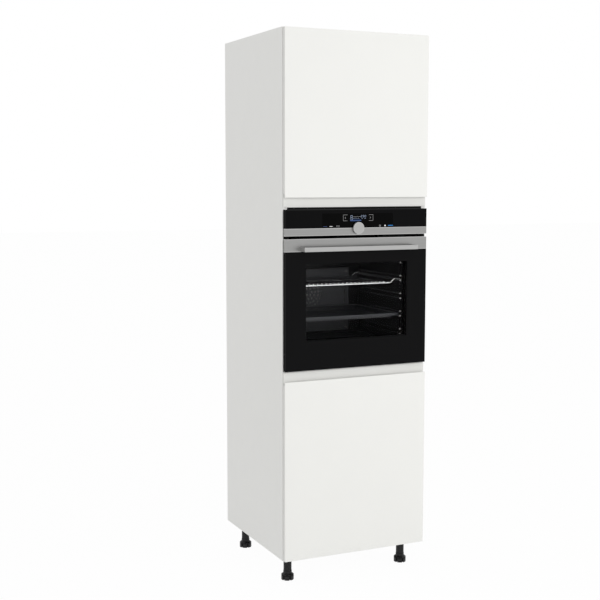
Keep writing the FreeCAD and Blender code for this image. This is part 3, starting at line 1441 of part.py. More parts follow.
def oven_handle():
    """A flat bar whose ends turn back to the door."""
    body = new_body("oven_handle")
    reach = handle_reach - front_reach
    end = panel_half - handle_inset
    neck = end - handle_post
    profile = outline(body, "XY_Plane", "handle_profile", (
        (-end, 0), (-end, -reach), (end, -reach), (end, 0), (neck, 0),
        (neck, handle_bar - reach), (-neck, handle_bar - reach), (-neck, 0)))
    bar = pad(body, profile, handle_height)
    def on_corner(point, way):
        return same(point.y, -reach) and abs(way.z) > 0.9
    def on_rim(point, way):
        return (same(point.z, 0) or same(point.z, handle_height)) and point.y < -0.01
    step = soften(body, bar, handle_round, on_corner)
    body.Tip = soften(body, step, edge_round, on_rim)
    put(body, 0, -front_reach, trim_bottom + handle_rise)
    return keep(body)


oven_handle()


# ---------------------------------------------------------------- writing

doc.recompute()
for thing in doc.Objects:
    if "Invalid" in thing.State or "Error" in thing.State:
        raise RuntimeError(f"{thing.Label} did not build: {thing.State}")
for piece in pieces:
    if piece.Shape.isNull() or not piece.Shape.isValid():
        raise RuntimeError(f"{piece.Label} has no valid shape")
for piece in pieces:
    piece.Shape.exportStep(f"parts/{piece.Label}.step")
print(len(pieces), "sub-parts written")
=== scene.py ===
"""Looks of the tall oven housing unit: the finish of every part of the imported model, and the
printed, pressed and turned details that sit on it.  Metres, +Z up, -Y towards the user."""
import math

import bmesh
import bpy
import numpy as np
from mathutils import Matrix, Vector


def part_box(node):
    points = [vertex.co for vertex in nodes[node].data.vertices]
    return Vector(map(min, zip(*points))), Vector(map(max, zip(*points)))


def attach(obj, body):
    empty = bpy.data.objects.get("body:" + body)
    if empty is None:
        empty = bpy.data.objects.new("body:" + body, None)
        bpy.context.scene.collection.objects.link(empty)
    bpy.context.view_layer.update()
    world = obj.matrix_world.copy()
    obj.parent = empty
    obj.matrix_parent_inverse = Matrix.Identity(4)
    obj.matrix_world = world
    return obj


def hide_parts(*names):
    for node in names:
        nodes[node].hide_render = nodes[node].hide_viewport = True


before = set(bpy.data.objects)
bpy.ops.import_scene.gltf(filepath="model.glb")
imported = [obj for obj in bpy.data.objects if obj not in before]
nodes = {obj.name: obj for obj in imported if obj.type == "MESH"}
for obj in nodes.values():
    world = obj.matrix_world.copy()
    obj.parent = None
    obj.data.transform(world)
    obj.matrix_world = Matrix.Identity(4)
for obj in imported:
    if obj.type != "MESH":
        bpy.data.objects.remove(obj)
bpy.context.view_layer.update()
MM = 0.001


# ------------------------------------------------------------- surfaces worked out with numpy

FRONT = ((1, 0, 0), (0, 0, 1))          # across and up on a face that looks towards the user
REAR = ((-1, 0, 0), (0, 0, 1))
RIGHT = ((0, 1, 0), (0, 0, 1))
LEFT = ((0, -1, 0), (0, 0, 1))
DOWN = ((1, 0, 0), (0, -1, 0))
UP = ((1, 0, 0), (0, 1, 0))


def lay(shape, origin, facing):
    """Carry a shape to its place: origin + x * across + y * up + z * (across x up)."""
    points, wrap_rows, wrap_columns = shape
    across, up = (np.array(way, float) for way in facing)
    axes = np.array([across, up, np.cross(across, up)])
    return points @ axes + np.array(origin, float), wrap_rows, wrap_columns


def turned(radii, heights, sides=32):
    """Surface of revolution: (r cos a, r sin a, h) for each step (r, h) of a profile."""
    angle = np.linspace(0, 2 * np.pi, sides, endpoint=False)
    radius = np.asarray(radii, float)[:, None]
    height = np.asarray(heights, float)[:, None] + 0 * angle
    return np.stack([radius * np.cos(angle), radius * np.sin(angle), height], -1), False, True


def domed(radius, height, edge, sides=32):
    """A round head: straight side, quarter-round edge r - e + e sin t, flat top."""
    turn = np.linspace(np.pi / 2, 0, 5)
    radii = [0, radius, *(radius - edge + edge * np.sin(turn)), 0]
    heights = [0, 0, *(height - edge + edge * np.cos(turn)), height]
    return turned(radii, heights, sides)


def rounded_outline(width, height, corner, steps=6):
    """Closed rounded rectangle: corner centre + corner radius * (cos a, sin a)."""
    turn = np.linspace(0, np.pi / 2, steps)
    angle = np.concatenate([turn + quarter * np.pi / 2 for quarter in range(4)])
    sign_x = np.repeat([1, -1, -1, 1], steps)
    sign_y = np.repeat([1, 1, -1, -1], steps)
    x = sign_x * (width / 2 - corner) + corner * np.cos(angle)
    y = sign_y * (height / 2 - corner) + corner * np.sin(angle)
    return np.stack([x, y], -1)


def stacked(width, height, corner, insets, levels, steps=6):
    """Rounded rectangles stacked outwards, each shrunk by an inset, closed at both ends."""
    rings = [np.zeros((4 * steps, 2))]
    for inset in insets:
        tight = max(corner - inset, 0.02 * MM)
        rings.append(rounded_outline(width - 2 * inset, height - 2 * inset, tight, steps))
    rings.append(np.zeros((4 * steps, 2)))
    heights = np.array([levels[0], *levels, levels[-1]])[:, None, None]
    flat = np.stack(rings)
    return np.concatenate([flat, heights + 0 * flat[..., :1]], -1), False, True


def cushioned(width, height, thick, corner, edge, steps=6):
    """A flat plate whose front edge is a quarter round of radius edge."""
    turn = np.linspace(0, np.pi / 2, 4)
    insets = [0, *(edge - edge * np.cos(turn))]
    levels = [0, *(thick - edge + edge * np.sin(turn))]
    return stacked(width, height, corner, insets, levels, steps)


def tube(path, radius, normal, sides, squash=1.0):
    """A circle carried round a closed flat path: p + r (cos a * side + squash sin a * normal)."""
    tangent = np.roll(path, -1, 0) - np.roll(path, 1, 0)
    normal = np.asarray(normal, float)
    side = np.cross(tangent, normal)
    side = side / np.linalg.norm(side, axis=1, keepdims=True)
    angle = np.linspace(0, 2 * np.pi, sides, endpoint=False)[:, None]
    ring = np.cos(angle) * side[:, None, :] + squash * np.sin(angle) * normal
    return path[:, None, :] + radius * ring, True, True


CREASE = math.radians(35)       # edges sharper than this stay crisp
WELD = 0.002 * MM               # points nearer than this are one


def build(name, shapes, body, finish):
    """One piece from closed shapes, in place, riding on a body."""
    corners, faces, count = [], [], 0
    for points, wrap_rows, wrap_columns in shapes:
        rows, columns = points.shape[:2]
        index = count + np.arange(rows * columns).reshape(rows, columns)
        if wrap_rows:
            index = np.vstack([index, index[:1]])
        if wrap_columns:
            index = np.hstack([index, index[:, :1]])
        quads = np.stack([index[:-1, :-1], index[1:, :-1], index[1:, 1:], index[:-1, 1:]], -1)
        corners.append(points.reshape(-1, 3))
        faces.append(quads.reshape(-1, 4))
        count += rows * columns
    mesh = bpy.data.meshes.new(name)
    mesh.from_pydata(np.vstack(corners).tolist(), [], np.vstack(faces).tolist())
    work = bmesh.new()
    work.from_mesh(mesh)
    bmesh.ops.remove_doubles(work, verts=work.verts, dist=WELD)
    bmesh.ops.recalc_face_normals(work, faces=work.faces)
    work.to_mesh(mesh)
    work.free()
    mesh.shade_smooth()
    mesh.set_sharp_from_angle(angle=CREASE)
    piece = bpy.data.objects.new(name, mesh)
    bpy.context.scene.collection.objects.link(piece)
    mesh.materials.append(finish)
    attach(piece, body)
    return piece


# ------------------------------------------------------------- materials

def linear(code):
    """A hex colour as linear red, green and blue."""
    parts = [int(code[index:index + 2], 16) / 255 for index in (1, 3, 5)]
    return tuple(v / 12.92 if v <= 0.04045 else ((v + 0.055) / 1.055) ** 2.4 for v in parts)


def colour(code):
    """A hex colour as a socket takes it, with its alpha."""
    return (*linear(code), 1.0)


def add(tree, kind, sockets=None, **settings):
    """Add one node with its settings; a socket takes a value or another node's output."""
    made = tree.nodes.new("ShaderNode" + kind)
    for name, value in settings.items():
        setattr(made, name, value)
    for key, value in (sockets or {}).items():
        if isinstance(value, bpy.types.NodeSocket):
            tree.links.new(value, made.inputs[key])
        else:
            made.inputs[key].default_value = value
    return made


def start(name, base, **sockets):
    """A material with one Principled shader; words in the names are split by _."""
    material = bpy.data.materials.new(name)
    material.use_nodes = True
    tree = material.node_tree
    shader = tree.nodes["Principled BSDF"]
    shader.inputs["Base Color"].default_value = colour(base)
    for key, value in sockets.items():
        words = key.replace("_", " ").title().replace("Ior", "IOR")
        shader.inputs[words].default_value = value
    return material, tree, shader


def place(tree, scale=(1, 1, 1)):
    """Object coordinates, stretched: a larger scale makes a finer pattern."""
    where = add(tree, "TexCoord").outputs["Object"]
    return add(tree, "Mapping", {"Vector": where, "Scale": scale}).outputs["Vector"]


def speckle(tree, size_mm, detail=3.0, stretch=(1, 1, 1)):
    """Noise whose grains are about size_mm wide."""
    scale = [1 / (size_mm * MM * way) for way in stretch]
    where = place(tree, scale)
    return add(tree, "TexNoise", {"Vector": where, "Scale": 1.0, "Detail": detail}).outputs["Fac"]


def spread(tree, value, low, high):
    """A noise value stretched from its usual 0.3 ... 0.7 to low ... high."""
    return add(tree, "MapRange", {"Value": value, "From Min": 0.3, "From Max": 0.7,
                                  "To Min": low, "To Max": high}).outputs["Result"]


def blend(tree, amount, first, second):
    """Two colours mixed by an amount."""
    mix = add(tree, "Mix", {0: amount}, data_type="RGBA")
    for socket, value in ((mix.inputs[6], first), (mix.inputs[7], second)):
        if isinstance(value, bpy.types.NodeSocket):
            tree.links.new(value, socket)
        else:
            socket.default_value = colour(value)
    return mix.outputs[2]


def link(tree, output, shader, key):
    """Drive one of the shader's sockets."""
    tree.links.new(output, shader.inputs[key])


def relief(tree, shader, height, depth_mm, strength=1.0):
    """Bump whose full height is depth_mm."""
    bump = add(tree, "Bump", {"Height": height, "Distance": depth_mm * MM, "Strength": strength})
    tree.links.new(bump.outputs["Normal"], shader.inputs["Normal"])


def inside(tree, axis, low, high, soft=0.1 * MM):
    """1 between two places along an axis of the object, with a soft edge."""
    split = add(tree, "SeparateXYZ", {0: add(tree, "TexCoord").outputs["Object"]})
    along = split.outputs["XYZ".index(axis)]
    rise = add(tree, "MapRange", {"Value": along, "From Min": low - soft, "From Max": low + soft})
    fall = add(tree, "MapRange", {"Value": along, "From Min": high + soft,
                                  "From Max": high - soft})
    return add(tree, "Math", {0: rise.outputs[0], 1: fall.outputs[0]},
               operation="MULTIPLY").outputs[0]


def both(tree, first, second):
    """1 where both masks are 1."""
    return add(tree, "Math", {0: first, 1: second}, operation="MULTIPLY").outputs[0]


def melamine_board():
    """Chipboard with a white melamine face: satin, with a fine pearl the rollers leave."""
    material, tree, shader = start("melamine_board", "#F7F7F5", roughness=0.42)
    pearl = speckle(tree, 1.6, 2.0)
    tone = blend(tree, speckle(tree, 45, 1.0), "#F6F6F4", "#F8F8F6")
    link(tree, tone, shader, "Base Color")
    link(tree, spread(tree, pearl, 0.36, 0.5), shader, "Roughness")
    relief(tree, shader, pearl, 0.03, 0.4)
    return material


def coated_fibreboard():
    """Thin fibreboard with a matt printed coat, a little warmer and duller than the sides."""
    material, tree, shader = start("coated_fibreboard", "#DEDCD7", roughness=0.6)
    fibre = speckle(tree, 2.5, 4.0, (1, 1, 5))
    link(tree, blend(tree, fibre, "#DAD8D3", "#E2E0DB"), shader, "Base Color")
    relief(tree, shader, fibre, 0.05, 0.5)
    return material


def gloss_lacquer(face_plane):
    """High-gloss lacquered door: a deep clear coat with the faint swell of sprayed lacquer,
    greyer on the edges and in the milled finger channel, which is painted shade."""
    material, tree, shader = start("gloss_lacquer", "#F5F5F2", roughness=0.3, coat_weight=0.6,
                                   coat_roughness=0.03, specular_ior_level=0.35)
    swell = speckle(tree, 14, 1.0)
    face = blend(tree, speckle(tree, 160, 1.0), "#F4F4F1", "#F6F6F3")
    # painted shade: the door's edges and the finger channel are drawn greyer
    channel_and_edge_shade = inside(tree, "Y", face_plane + 3 * MM, face_plane + 30 * MM, 1.5 * MM)
    link(tree, blend(tree, channel_and_edge_shade, face, "#E7E7E4"), shader, "Base Color")
    relief(tree, shader, swell, 0.02, 0.25)
    return material


def beech():
    """Plain beech dowels: pale brown wood, fluted, with short grain along the dowel."""
    material, tree, shader = start("beech", "#C79D6A", roughness=0.65)
    grain = speckle(tree, 0.7, 4.0, (14, 1, 1))
    link(tree, blend(tree, grain, "#B98C58", "#D6B07E"), shader, "Base Color")
    relief(tree, shader, grain, 0.08)
    return material


def nickel_plate():
    """Nickel-plated steel and zinc fittings: warm grey metal, bright, with fine handling marks."""
    material, tree, shader = start("nickel_plate", "#B5B2AC", metallic=1.0, roughness=0.28)
    marks = speckle(tree, 1.5, 4.0, (1, 4, 1))
    link(tree, spread(tree, marks, 0.2, 0.36), shader, "Roughness")
    link(tree, blend(tree, speckle(tree, 12, 2.0), "#ACA9A3", "#BDBAB4"), shader, "Base Color")
    relief(tree, shader, marks, 0.01, 0.3)
    return material


def moulded_black():
    """Black glass-filled nylon, moulded: dull, with a fine eroded texture from the mould."""
    material, tree, shader = start("moulded_black", "#151516", roughness=0.4,
                                   specular_ior_level=0.3)
    grit = speckle(tree, 0.8, 3.0)
    link(tree, blend(tree, speckle(tree, 9, 2.0), "#101011", "#19191A"), shader, "Base Color")
    link(tree, spread(tree, grit, 0.34, 0.48), shader, "Roughness")
    relief(tree, shader, grit, 0.05, 0.6)
    return material


def silicone():
    """Clear silicone bumpers: soft, milky and slightly see-through."""
    material, tree, shader = start("silicone", "#E6E6E1", roughness=0.35,
                                   transmission_weight=0.35, ior=1.41)
    relief(tree, shader, speckle(tree, 1.2, 2.0), 0.02, 0.4)
    return material


def galvanised(front_plane):
    """Galvanised sheet with faint spangles; the frame round the oven's front is stove black, and
    this black band is partly that real paint and partly painted shade for the dark gap round the
    oven.
    """
    material, tree, shader = start("galvanised", "#A3A6A8", metallic=0.9, roughness=0.42,
                                   specular_ior_level=0.1)
    where = place(tree, (1 / (9 * MM),) * 3)
    spangle = add(tree, "TexVoronoi", {"Vector": where, "Scale": 1.0}, feature="F1")
    tone = blend(tree, add(tree, "RGBToBW", {0: spangle.outputs["Color"]}).outputs[0],
                 "#979A9C", "#AEB1B3")
    # partly real black paint on the front frame, partly painted shade in the gap above the oven
    black_paint_and_shade = inside(tree, "Y", front_plane - 50 * MM, front_plane + 0.2 * MM)
    link(tree, blend(tree, black_paint_and_shade, tone, "#101010"), shader, "Base Color")
    link(tree, add(tree, "MapRange", {"Value": black_paint_and_shade, "To Min": 0.9, "To Max": 0.0}).outputs[0],
         shader, "Metallic")
    link(tree, spread(tree, speckle(tree, 3, 3.0), 0.36, 0.5), shader, "Roughness")
    return material


def vitreous_enamel(name, base, fleck, gloss):
    """Pyrolytic oven enamel: fired dark grey glass with pale flecks and a soft orange peel."""
    material, tree, shader = start(name, base, roughness=0.36, specular_ior_level=gloss)
    fine = speckle(tree, 0.9, 2.0)
    dots = add(tree, "MapRange", {"Value": fine, "From Min": 0.64, "From Max": 0.7}).outputs[0]
    link(tree, blend(tree, dots, base, fleck), shader, "Base Color")
    relief(tree, shader, speckle(tree, 6, 1.0), 0.06, 0.35)
    return material


def woven_seal():
    """Woven glass-fibre door seal: black yarn laid in a tight diagonal braid."""
    material, tree, shader = start("woven_seal", "#1A1A1B", roughness=0.85)
    twill = add(tree, "TexWave", {"Vector": place(tree, (1 / (5 * MM),) * 3), "Scale": 1.0,
                                  "Distortion": 1.0}, bands_direction="DIAGONAL")
    link(tree, blend(tree, twill.outputs["Fac"], "#111112", "#2C2C2D"), shader, "Base Color")
    relief(tree, shader, twill.outputs["Fac"], 0.25)
    return material


def mineral_wool():
    """Mineral wool blanket: yellow-grey loose fibre."""
    material, tree, shader = start("mineral_wool", "#BDB48F", roughness=0.95)
    fluff = speckle(tree, 4, 6.0)
    link(tree, blend(tree, fluff, "#A39A76", "#D2C9A5"), shader, "Base Color")
    relief(tree, shader, fluff, 2.0)
    return material


def chrome_wire():
    """Bright chrome on steel wire: mirror-like, with faint drawing lines round the wire."""
    material, tree, shader = start("chrome_wire", "#D9DADB", metallic=1.0, roughness=0.12)
    lines = speckle(tree, 1.0, 3.0)
    link(tree, spread(tree, lines, 0.08, 0.18), shader, "Roughness")
    relief(tree, shader, lines, 0.01, 0.2)
    return material


def rail_chrome_shaded_posts(near):
    """The side rails: bright runners; the posts and pegs further out are drawn near-black, painted
    shade that keeps highlights off them.
    """
    material, tree, shader = start("rail_chrome_shaded_posts", "#D9DADB", metallic=1.0, roughness=0.16)
    runner = inside(tree, "X", -near, near)
    bright = blend(tree, speckle(tree, 6, 2.0), "#C9CACB", "#DEDFE0")
    # painted shade: near-black outside the runners
    link(tree, blend(tree, runner, "#0B0B0B", bright), shader, "Base Color")
    relief(tree, shader, speckle(tree, 1.0, 3.0), 0.01, 0.2)
    return material


def cut_steel():
    """Sawn and tumbled wire ends: pale, dull metal that takes light from every side."""
    material, tree, shader = start("cut_steel", "#ECECEC", metallic=1.0, roughness=0.5)
    link(tree, blend(tree, speckle(tree, 1.5, 2.0), "#E6E6E6", "#F2F2F2"), shader, "Base Color")
    return material


def outlet_black_and_shade():
    """Sheet with matt black stove paint, inside the oven's air outlet; its near-black, barely
    reflecting colour is partly that paint and partly painted shade for the dark outlet gap.
    """
    # partly real black paint, partly painted shade for the outlet gap
    material, tree, shader = start("outlet_black_and_shade", "#0A0A0A", roughness=0.9,
                                   specular_ior_level=0.05)
    link(tree, blend(tree, speckle(tree, 6, 2.0), "#070707", "#0C0C0C"), shader, "Base Color")
    return material


def heater_tube():
    """Oxidised nickel-steel heater tube: dull brown-black from its own heat."""
    material, tree, shader = start("heater_tube", "#3A3634", metallic=0.8, roughness=0.45)
    scale = speckle(tree, 5, 4.0)
    link(tree, blend(tree, scale, "#2C2927", "#4B4541"), shader, "Base Color")
    link(tree, spread(tree, scale, 0.38, 0.6), shader, "Roughness")
    return material


def brushed_stainless(name, base, light, dark, highlight_levels=()):
    """Stainless sheet brushed along X: long hair lines about 0.6 mm apart, drawn coarse enough
    to show, that stretch highlights up and down.  Along its folded edges a lighter band is a
    painted highlight."""
    material, tree, shader = start(name, base, metallic=1.0, roughness=0.34, anisotropic=0.5)
    hair = speckle(tree, 0.6, 4.0, (160, 1, 1))
    wide = speckle(tree, 4, 2.0, (90, 1, 1))
    tone = blend(tree, spread(tree, hair, 0.0, 1.0), dark, light)
    tone = blend(tree, spread(tree, wide, 0.0, 0.4), tone, base)
    for level in highlight_levels:
        # painted highlight: a lighter band along each folded edge
        fold_highlight = inside(tree, "Z", level - 2.0 * MM, level + 2.0 * MM, 0.8 * MM)
        tone = blend(tree, fold_highlight, tone, "#CCCCCB")
    link(tree, tone, shader, "Base Color")
    link(tree, spread(tree, hair, 0.28, 0.42), shader, "Roughness")
    relief(tree, shader, hair, 0.012, 0.35)
    return material


def black_glass(display, top):
    """Float glass with a black fired print on its back: deep black under an even gloss, deeper
    still where the display's lens is; its ground top edge is drawn as a lighter grey band, a
    painted highlight."""
    material, tree, shader = start("black_glass", "#0A0A0A", roughness=0.05,
                                   specular_ior_level=0.045)
    print_tone = blend(tree, speckle(tree, 120, 1.0), "#0B0B0C", "#0D0D0E")
    lens = both(tree, inside(tree, "X", *display[:2]), inside(tree, "Z", *display[2:]))
    toned = blend(tree, lens, print_tone, "#030303")
    # painted highlight: lighter grey along the top edge
    top_edge_highlight = inside(tree, "Z", top - 1.6 * MM, top + 5 * MM)
    link(tree, blend(tree, top_edge_highlight, toned, "#3A3A3B"), shader, "Base Color")
    return material


def tinted_glass(left, right, low, high):
    """Outer oven door glass: black print round a grey-tinted clear window."""
    material, tree, shader = start("tinted_glass", "#0B0B0C", roughness=0.03,
                                   specular_ior_level=0.055)
    window = both(tree, inside(tree, "X", left, right), inside(tree, "Z", low, high))
    link(tree, blend(tree, window, "#0E0E0F", "#040405"), shader, "Base Color")
    link(tree, add(tree, "MapRange", {"Value": window, "To Min": 1.0, "To Max": 0.3}).outputs[0],
         shader, "Alpha")
    return material


def clear_pane():
    """Clear heat-reflecting inner glass: nearly invisible, with a faint grey-green body."""
    material, tree, shader = start("clear_pane", "#0C1010", roughness=0.02, alpha=0.06,
                                   specular_ior_level=0.03)
    link(tree, spread(tree, speckle(tree, 200, 1.0), 0.015, 0.03), shader, "Roughness")
    return material


def inner_pane(left, right, low, high):
    """Inner oven door glass: clear, with a dark fired border that hides the frame."""
    material, tree, shader = start("inner_pane", "#151617", roughness=0.03,
                                   specular_ior_level=0.03)
    window = both(tree, inside(tree, "X", left, right), inside(tree, "Z", low, high))
    link(tree, blend(tree, window, "#1A1A1B", "#0A0C0C"), shader, "Base Color")
    link(tree, add(tree, "MapRange", {"Value": window, "To Min": 1.0, "To Max": 0.06}).outputs[0],
         shader, "Alpha")
    return material


def lamp_glass():
    """Pressed borosilicate lamp cover: clear, thick, ribbed."""
    material, tree, shader = start("lamp_glass", "#E8ECEC", roughness=0.1,
                                   transmission_weight=0.8, ior=1.47)
    relief(tree, shader, speckle(tree, 3, 1.0), 0.1)
    return material


def satin_aluminium():
    """Turned aluminium, satin anodised: pale grey, a soft sheen, fine rings from the lathe."""
    material, tree, shader = start("satin_aluminium", "#B8B8B7", metallic=1.0, roughness=0.4)
    fine = speckle(tree, 0.5, 2.0)
    link(tree, spread(tree, fine, 0.34, 0.46), shader, "Roughness")
    link(tree, blend(tree, fine, "#B2B2B1", "#BFBFBE"), shader, "Base Color")
    return material


def motor_steel():
    """Rolled steel of the fan and its motor: mid grey with faint rolling marks."""
    material, tree, shader = start("motor_steel", "#8C8C8B", metallic=1.0, roughness=0.38)
    link(tree, blend(tree, speckle(tree, 3, 3.0, (6, 1, 1)), "#818180", "#979796"), shader,
         "Base Color")
    return material


def display_lens():
    """Dark display lens behind the fascia."""
    material, tree, shader = start("display_lens", "#08090C", roughness=0.15)
    link(tree, blend(tree, speckle(tree, 30, 1.0), "#07080B", "#0B0C10"), shader, "Base Color")
    return material


def lit(name, code, strength):
    """A lit display mark or a printed mark behind glass: even colour that glows a little; on a
    printed mark the glow is painted light.
    """
    material, tree, shader = start(name, code, roughness=0.4)
    tone = blend(tree, speckle(tree, 0.7, 1.0), code, code)
    link(tree, tone, shader, "Emission Color")
    shader.inputs["Emission Strength"].default_value = strength
    return material


def dress(finish, *names):
    """Give carried-over parts one finish."""
    for name in names:
        node = nodes[name]
        for slot in node.material_slots:
            slot.material = finish
        if not node.material_slots:
            node.data.materials.append(finish)


PANE_STEP = 17 * MM             # clear window inside the middle pane's edge
RAIL_TO_WALL = 14 * MM          # runner wires from the cavity's wall
POST_EDGE = 11.7 * MM           # from here to the wall there are only posts and pegs

window_low, window_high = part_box("oven_door_middle_glass")
left, right = window_low[0] + PANE_STEP, window_high[0] - PANE_STEP
low, high = window_low[2] + PANE_STEP, window_high[2] - PANE_STEP

BOARD = melamine_board()
LACQUER = gloss_lacquer(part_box("upper_door")[0][1])
NICKEL = nickel_plate()
BLACK = moulded_black()
# The cavity and door frame enamel is near-black, darker than the real dark grey enamel: painted
# shade.
PAINTED_SHADE_INTERIOR_COAT = vitreous_enamel("vitreous_enamel", "#0A0A0B", "#1C1C1E", 0.2)
# The fan cover is the same enamel drawn much lighter: painted light.
PAINTED_LIGHT_COVER_COAT = vitreous_enamel("painted_light_enamel", "#505154", "#5E5F62", 0.3)
CHROME = chrome_wire()
strip_highlight_levels = [corner[2] for strip in ("fascia_strip", "oven_door_strip")
               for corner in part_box(strip)]
STAINLESS = brushed_stainless("brushed_stainless", "#A2A2A1", "#ABABAA", "#989897", strip_highlight_levels)
STEEL = motor_steel()
CUT = cut_steel()
HEATER = heater_tube()

legs = [f"leg_{row}_{side}" for row in ("front", "back") for side in ("left", "right")]
feet = [name.replace("leg", "foot") for name in legs]
carcass_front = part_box("side_left")[0][1]
dress(BOARD, "side_left", "side_right", "top_panel", "bottom_panel", "shelf_under_oven",
      "shelf_over_oven", "lower_shelf", "upper_shelf")
dress(coated_fibreboard(), "back_lower", "back_upper")
dress(LACQUER, "lower_door", "upper_door")
dress(beech(), "dowels")
dress(NICKEL, "shelf_pins", "cam_fittings", "wall_brackets", "wood_screws", "hinge_arms",
      "hinge_plates", "lower_hinge_cups", "upper_hinge_cups", "oven_fixing_screws",
      "oven_door_hinges")
dress(outlet_black_and_shade(), "control_housing")
dress(BLACK, "mains_terminal", "knob_switch", "blower_roller", *legs, *feet)
dress(silicone(), "door_bumpers")
dress(galvanised(carcass_front), "oven_casing", "cooling_blower")
dress(PAINTED_SHADE_INTERIOR_COAT, "oven_cavity", "oven_door_frame")
dress(PAINTED_LIGHT_COVER_COAT, "fan_cover")
dress(vitreous_enamel("tray_enamel", "#242528", "#303135", 0.3), "baking_tray")
dress(woven_seal(), "oven_door_seal")
dress(mineral_wool(), "oven_insulation")
dress(CHROME, "wire_rack")
dress(rail_chrome_shaded_posts(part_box("rack_rails")[1][0] - POST_EDGE), "rack_rails")
dress(HEATER, "ring_heater", "grill_heater")
dress(STAINLESS, "fascia_strip", "oven_door_strip")
dress(brushed_stainless("brushed_handle", "#BABAB9", "#C3C3C2", "#B1B1B0"), "oven_handle")
fascia_low, fascia_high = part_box("fascia_glass")
lens = (-148 * MM, 150 * MM, fascia_high[2] - 70 * MM, fascia_high[2] - 15 * MM)
dress(black_glass(lens, fascia_high[2]), "fascia_glass")
dress(tinted_glass(left, right, low, high), "oven_door_glass")
dress(clear_pane(), "oven_door_middle_glass")
dress(inner_pane(left, right, low, high), "oven_door_inner_glass")
dress(lamp_glass(), "oven_lamp")
dress(satin_aluminium(), "control_knob")
dress(STEEL, "fan_motor", "fan_wheel")
dress(display_lens(), "display_module")


# ------------------------------------------------------------- camera, floor and light

FOCAL_PX = 1124.27            # solved from the photograph's edges, for a frame this wide
FRAME_PX = 600
SENSOR = 36.0                 # millimetres
EYE = (-1.9613, -3.9867, 1.5118)
YAW, PITCH, ROLL = 24.88, 5.989, -0.058


def camera():
    """The photograph's own view, as solved."""
    lens = bpy.data.cameras.new("camera")
    lens.sensor_width = SENSOR
    lens.lens = FOCAL_PX * SENSOR / FRAME_PX
    lens.clip_end = 50
    eye = bpy.data.objects.new("camera", lens)
    eye.location = EYE
    eye.rotation_euler = (math.radians(90 - PITCH), math.radians(ROLL), math.radians(-YAW))
    bpy.context.scene.collection.objects.link(eye)
    bpy.context.scene.camera = eye


def seen_directly(tree):
    """1 for what the camera, a reflection or a clear pane shows of a surface."""
    path = add(tree, "LightPath").outputs
    first = add(tree, "Math", {0: path["Is Camera Ray"], 1: path["Is Glossy Ray"]},
                operation="MAXIMUM").outputs[0]
    return add(tree, "Math", {0: first, 1: path["Is Transmission Ray"]},
               operation="MAXIMUM").outputs[0]


SURROUND = "#DBDBDA"           # how light the white room is on matt surfaces
GLOW = 0.97                    # how much of the floor is plain white where it is seen
FLOOR_REACH = 30.0


def studio():
    """White surroundings that light the part evenly, and a pale floor that keeps its shadow."""
    scene = bpy.context.scene
    scene.view_settings.view_transform = "Standard"
    world = bpy.data.worlds.new("studio")
    scene.world = world
    world.use_nodes = True
    tree = world.node_tree
    background = tree.nodes["Background"]
    mix = blend(tree, seen_directly(tree), SURROUND, "#FFFFFF")
    tree.links.new(mix, background.inputs["Color"])

    floor_mesh = bpy.data.meshes.new("floor")
    ways = ((-1, -1), (1, -1), (1, 1), (-1, 1))
    corners = [(x * FLOOR_REACH, y * FLOOR_REACH, 0) for x, y in ways]
    floor_mesh.from_pydata(corners, [], [(0, 1, 2, 3)])
    floor = bpy.data.objects.new("floor", floor_mesh)
    scene.collection.objects.link(floor)
    material, tree, shader = start("pale_floor", "#F4F4F4", roughness=0.9,
                                   specular_ior_level=0.0)
    glow = add(tree, "Emission", {"Color": (1, 1, 1, 1), "Strength": 1.0})
    both_ways = add(tree, "MixShader")
    lightness = add(tree, "Math", {0: seen_directly(tree), 1: GLOW}, operation="MULTIPLY")
    tree.links.new(lightness.outputs[0], both_ways.inputs[0])
    tree.links.new(shader.outputs[0], both_ways.inputs[1])
    tree.links.new(glow.outputs[0], both_ways.inputs[2])
    tree.links.new(both_ways.outputs[0], tree.nodes["Material Output"].inputs["Surface"])
    floor_mesh.materials.append(material)


def softbox(name, place_at, aim, size, power, in_gloss=False):
    """A rectangular area light that looks at a point."""
    light = bpy.data.lights.new(name, "AREA")
    light.shape = "RECTANGLE"
    light.size, light.size_y = size
    light.energy = power
    lamp = bpy.data.objects.new(name, light)
    lamp.location = place_at
    way = np.array(aim) - np.array(place_at)
    flat = math.hypot(way[0], way[1])
    lamp.rotation_euler = (math.atan2(flat, -way[2]), 0, math.atan2(way[1], way[0]) - math.pi / 2)
    bpy.context.scene.collection.objects.link(lamp)
    lamp.visible_glossy = in_gloss


camera()
studio()
softbox("front_light", (1.6, -4.6, 2.4), (0, 0, 1.0), (2.6, 2.6), 62)
mouth_low, mouth_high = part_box("oven_door_seal")
window_light = ((mouth_low[0] + mouth_high[0]) / 2, mouth_high[1] + 4 * MM,
                (mouth_low[2] + mouth_high[2]) / 2)
softbox("window_light", window_light, (0, 0.5, window_light[2]), (0.44, 0.3), 1.4,
        in_gloss=True)


# ------------------------------------------------------------- control panel

glass_face = fascia_low[1]
PRINT = 0.06 * MM               # how far a printed mark stands on the glass


def stroke(start_x, start_z, end_x, end_z, width):
    """A flat bar with round ends between two points, in millimetres from the panel's middle."""
    way = np.array([end_x - start_x, end_z - start_z], float)
    length = np.hypot(*way)
    turn = math.atan2(way[1], way[0])
    points, rows, columns = cushioned((length + width) * MM, width * MM, PRINT,
                                      0.499 * width * MM, 0.3 * PRINT, 3)
    x = points[..., 0] * math.cos(turn) - points[..., 1] * math.sin(turn)
    y = points[..., 0] * math.sin(turn) + points[..., 1] * math.cos(turn)
    points = np.stack([x, y, points[..., 2]], -1)
    place_at = ((start_x + end_x) / 2 * MM, glass_face, (start_z + end_z) / 2 * MM)
    return lay((points, rows, columns), place_at, FRONT)


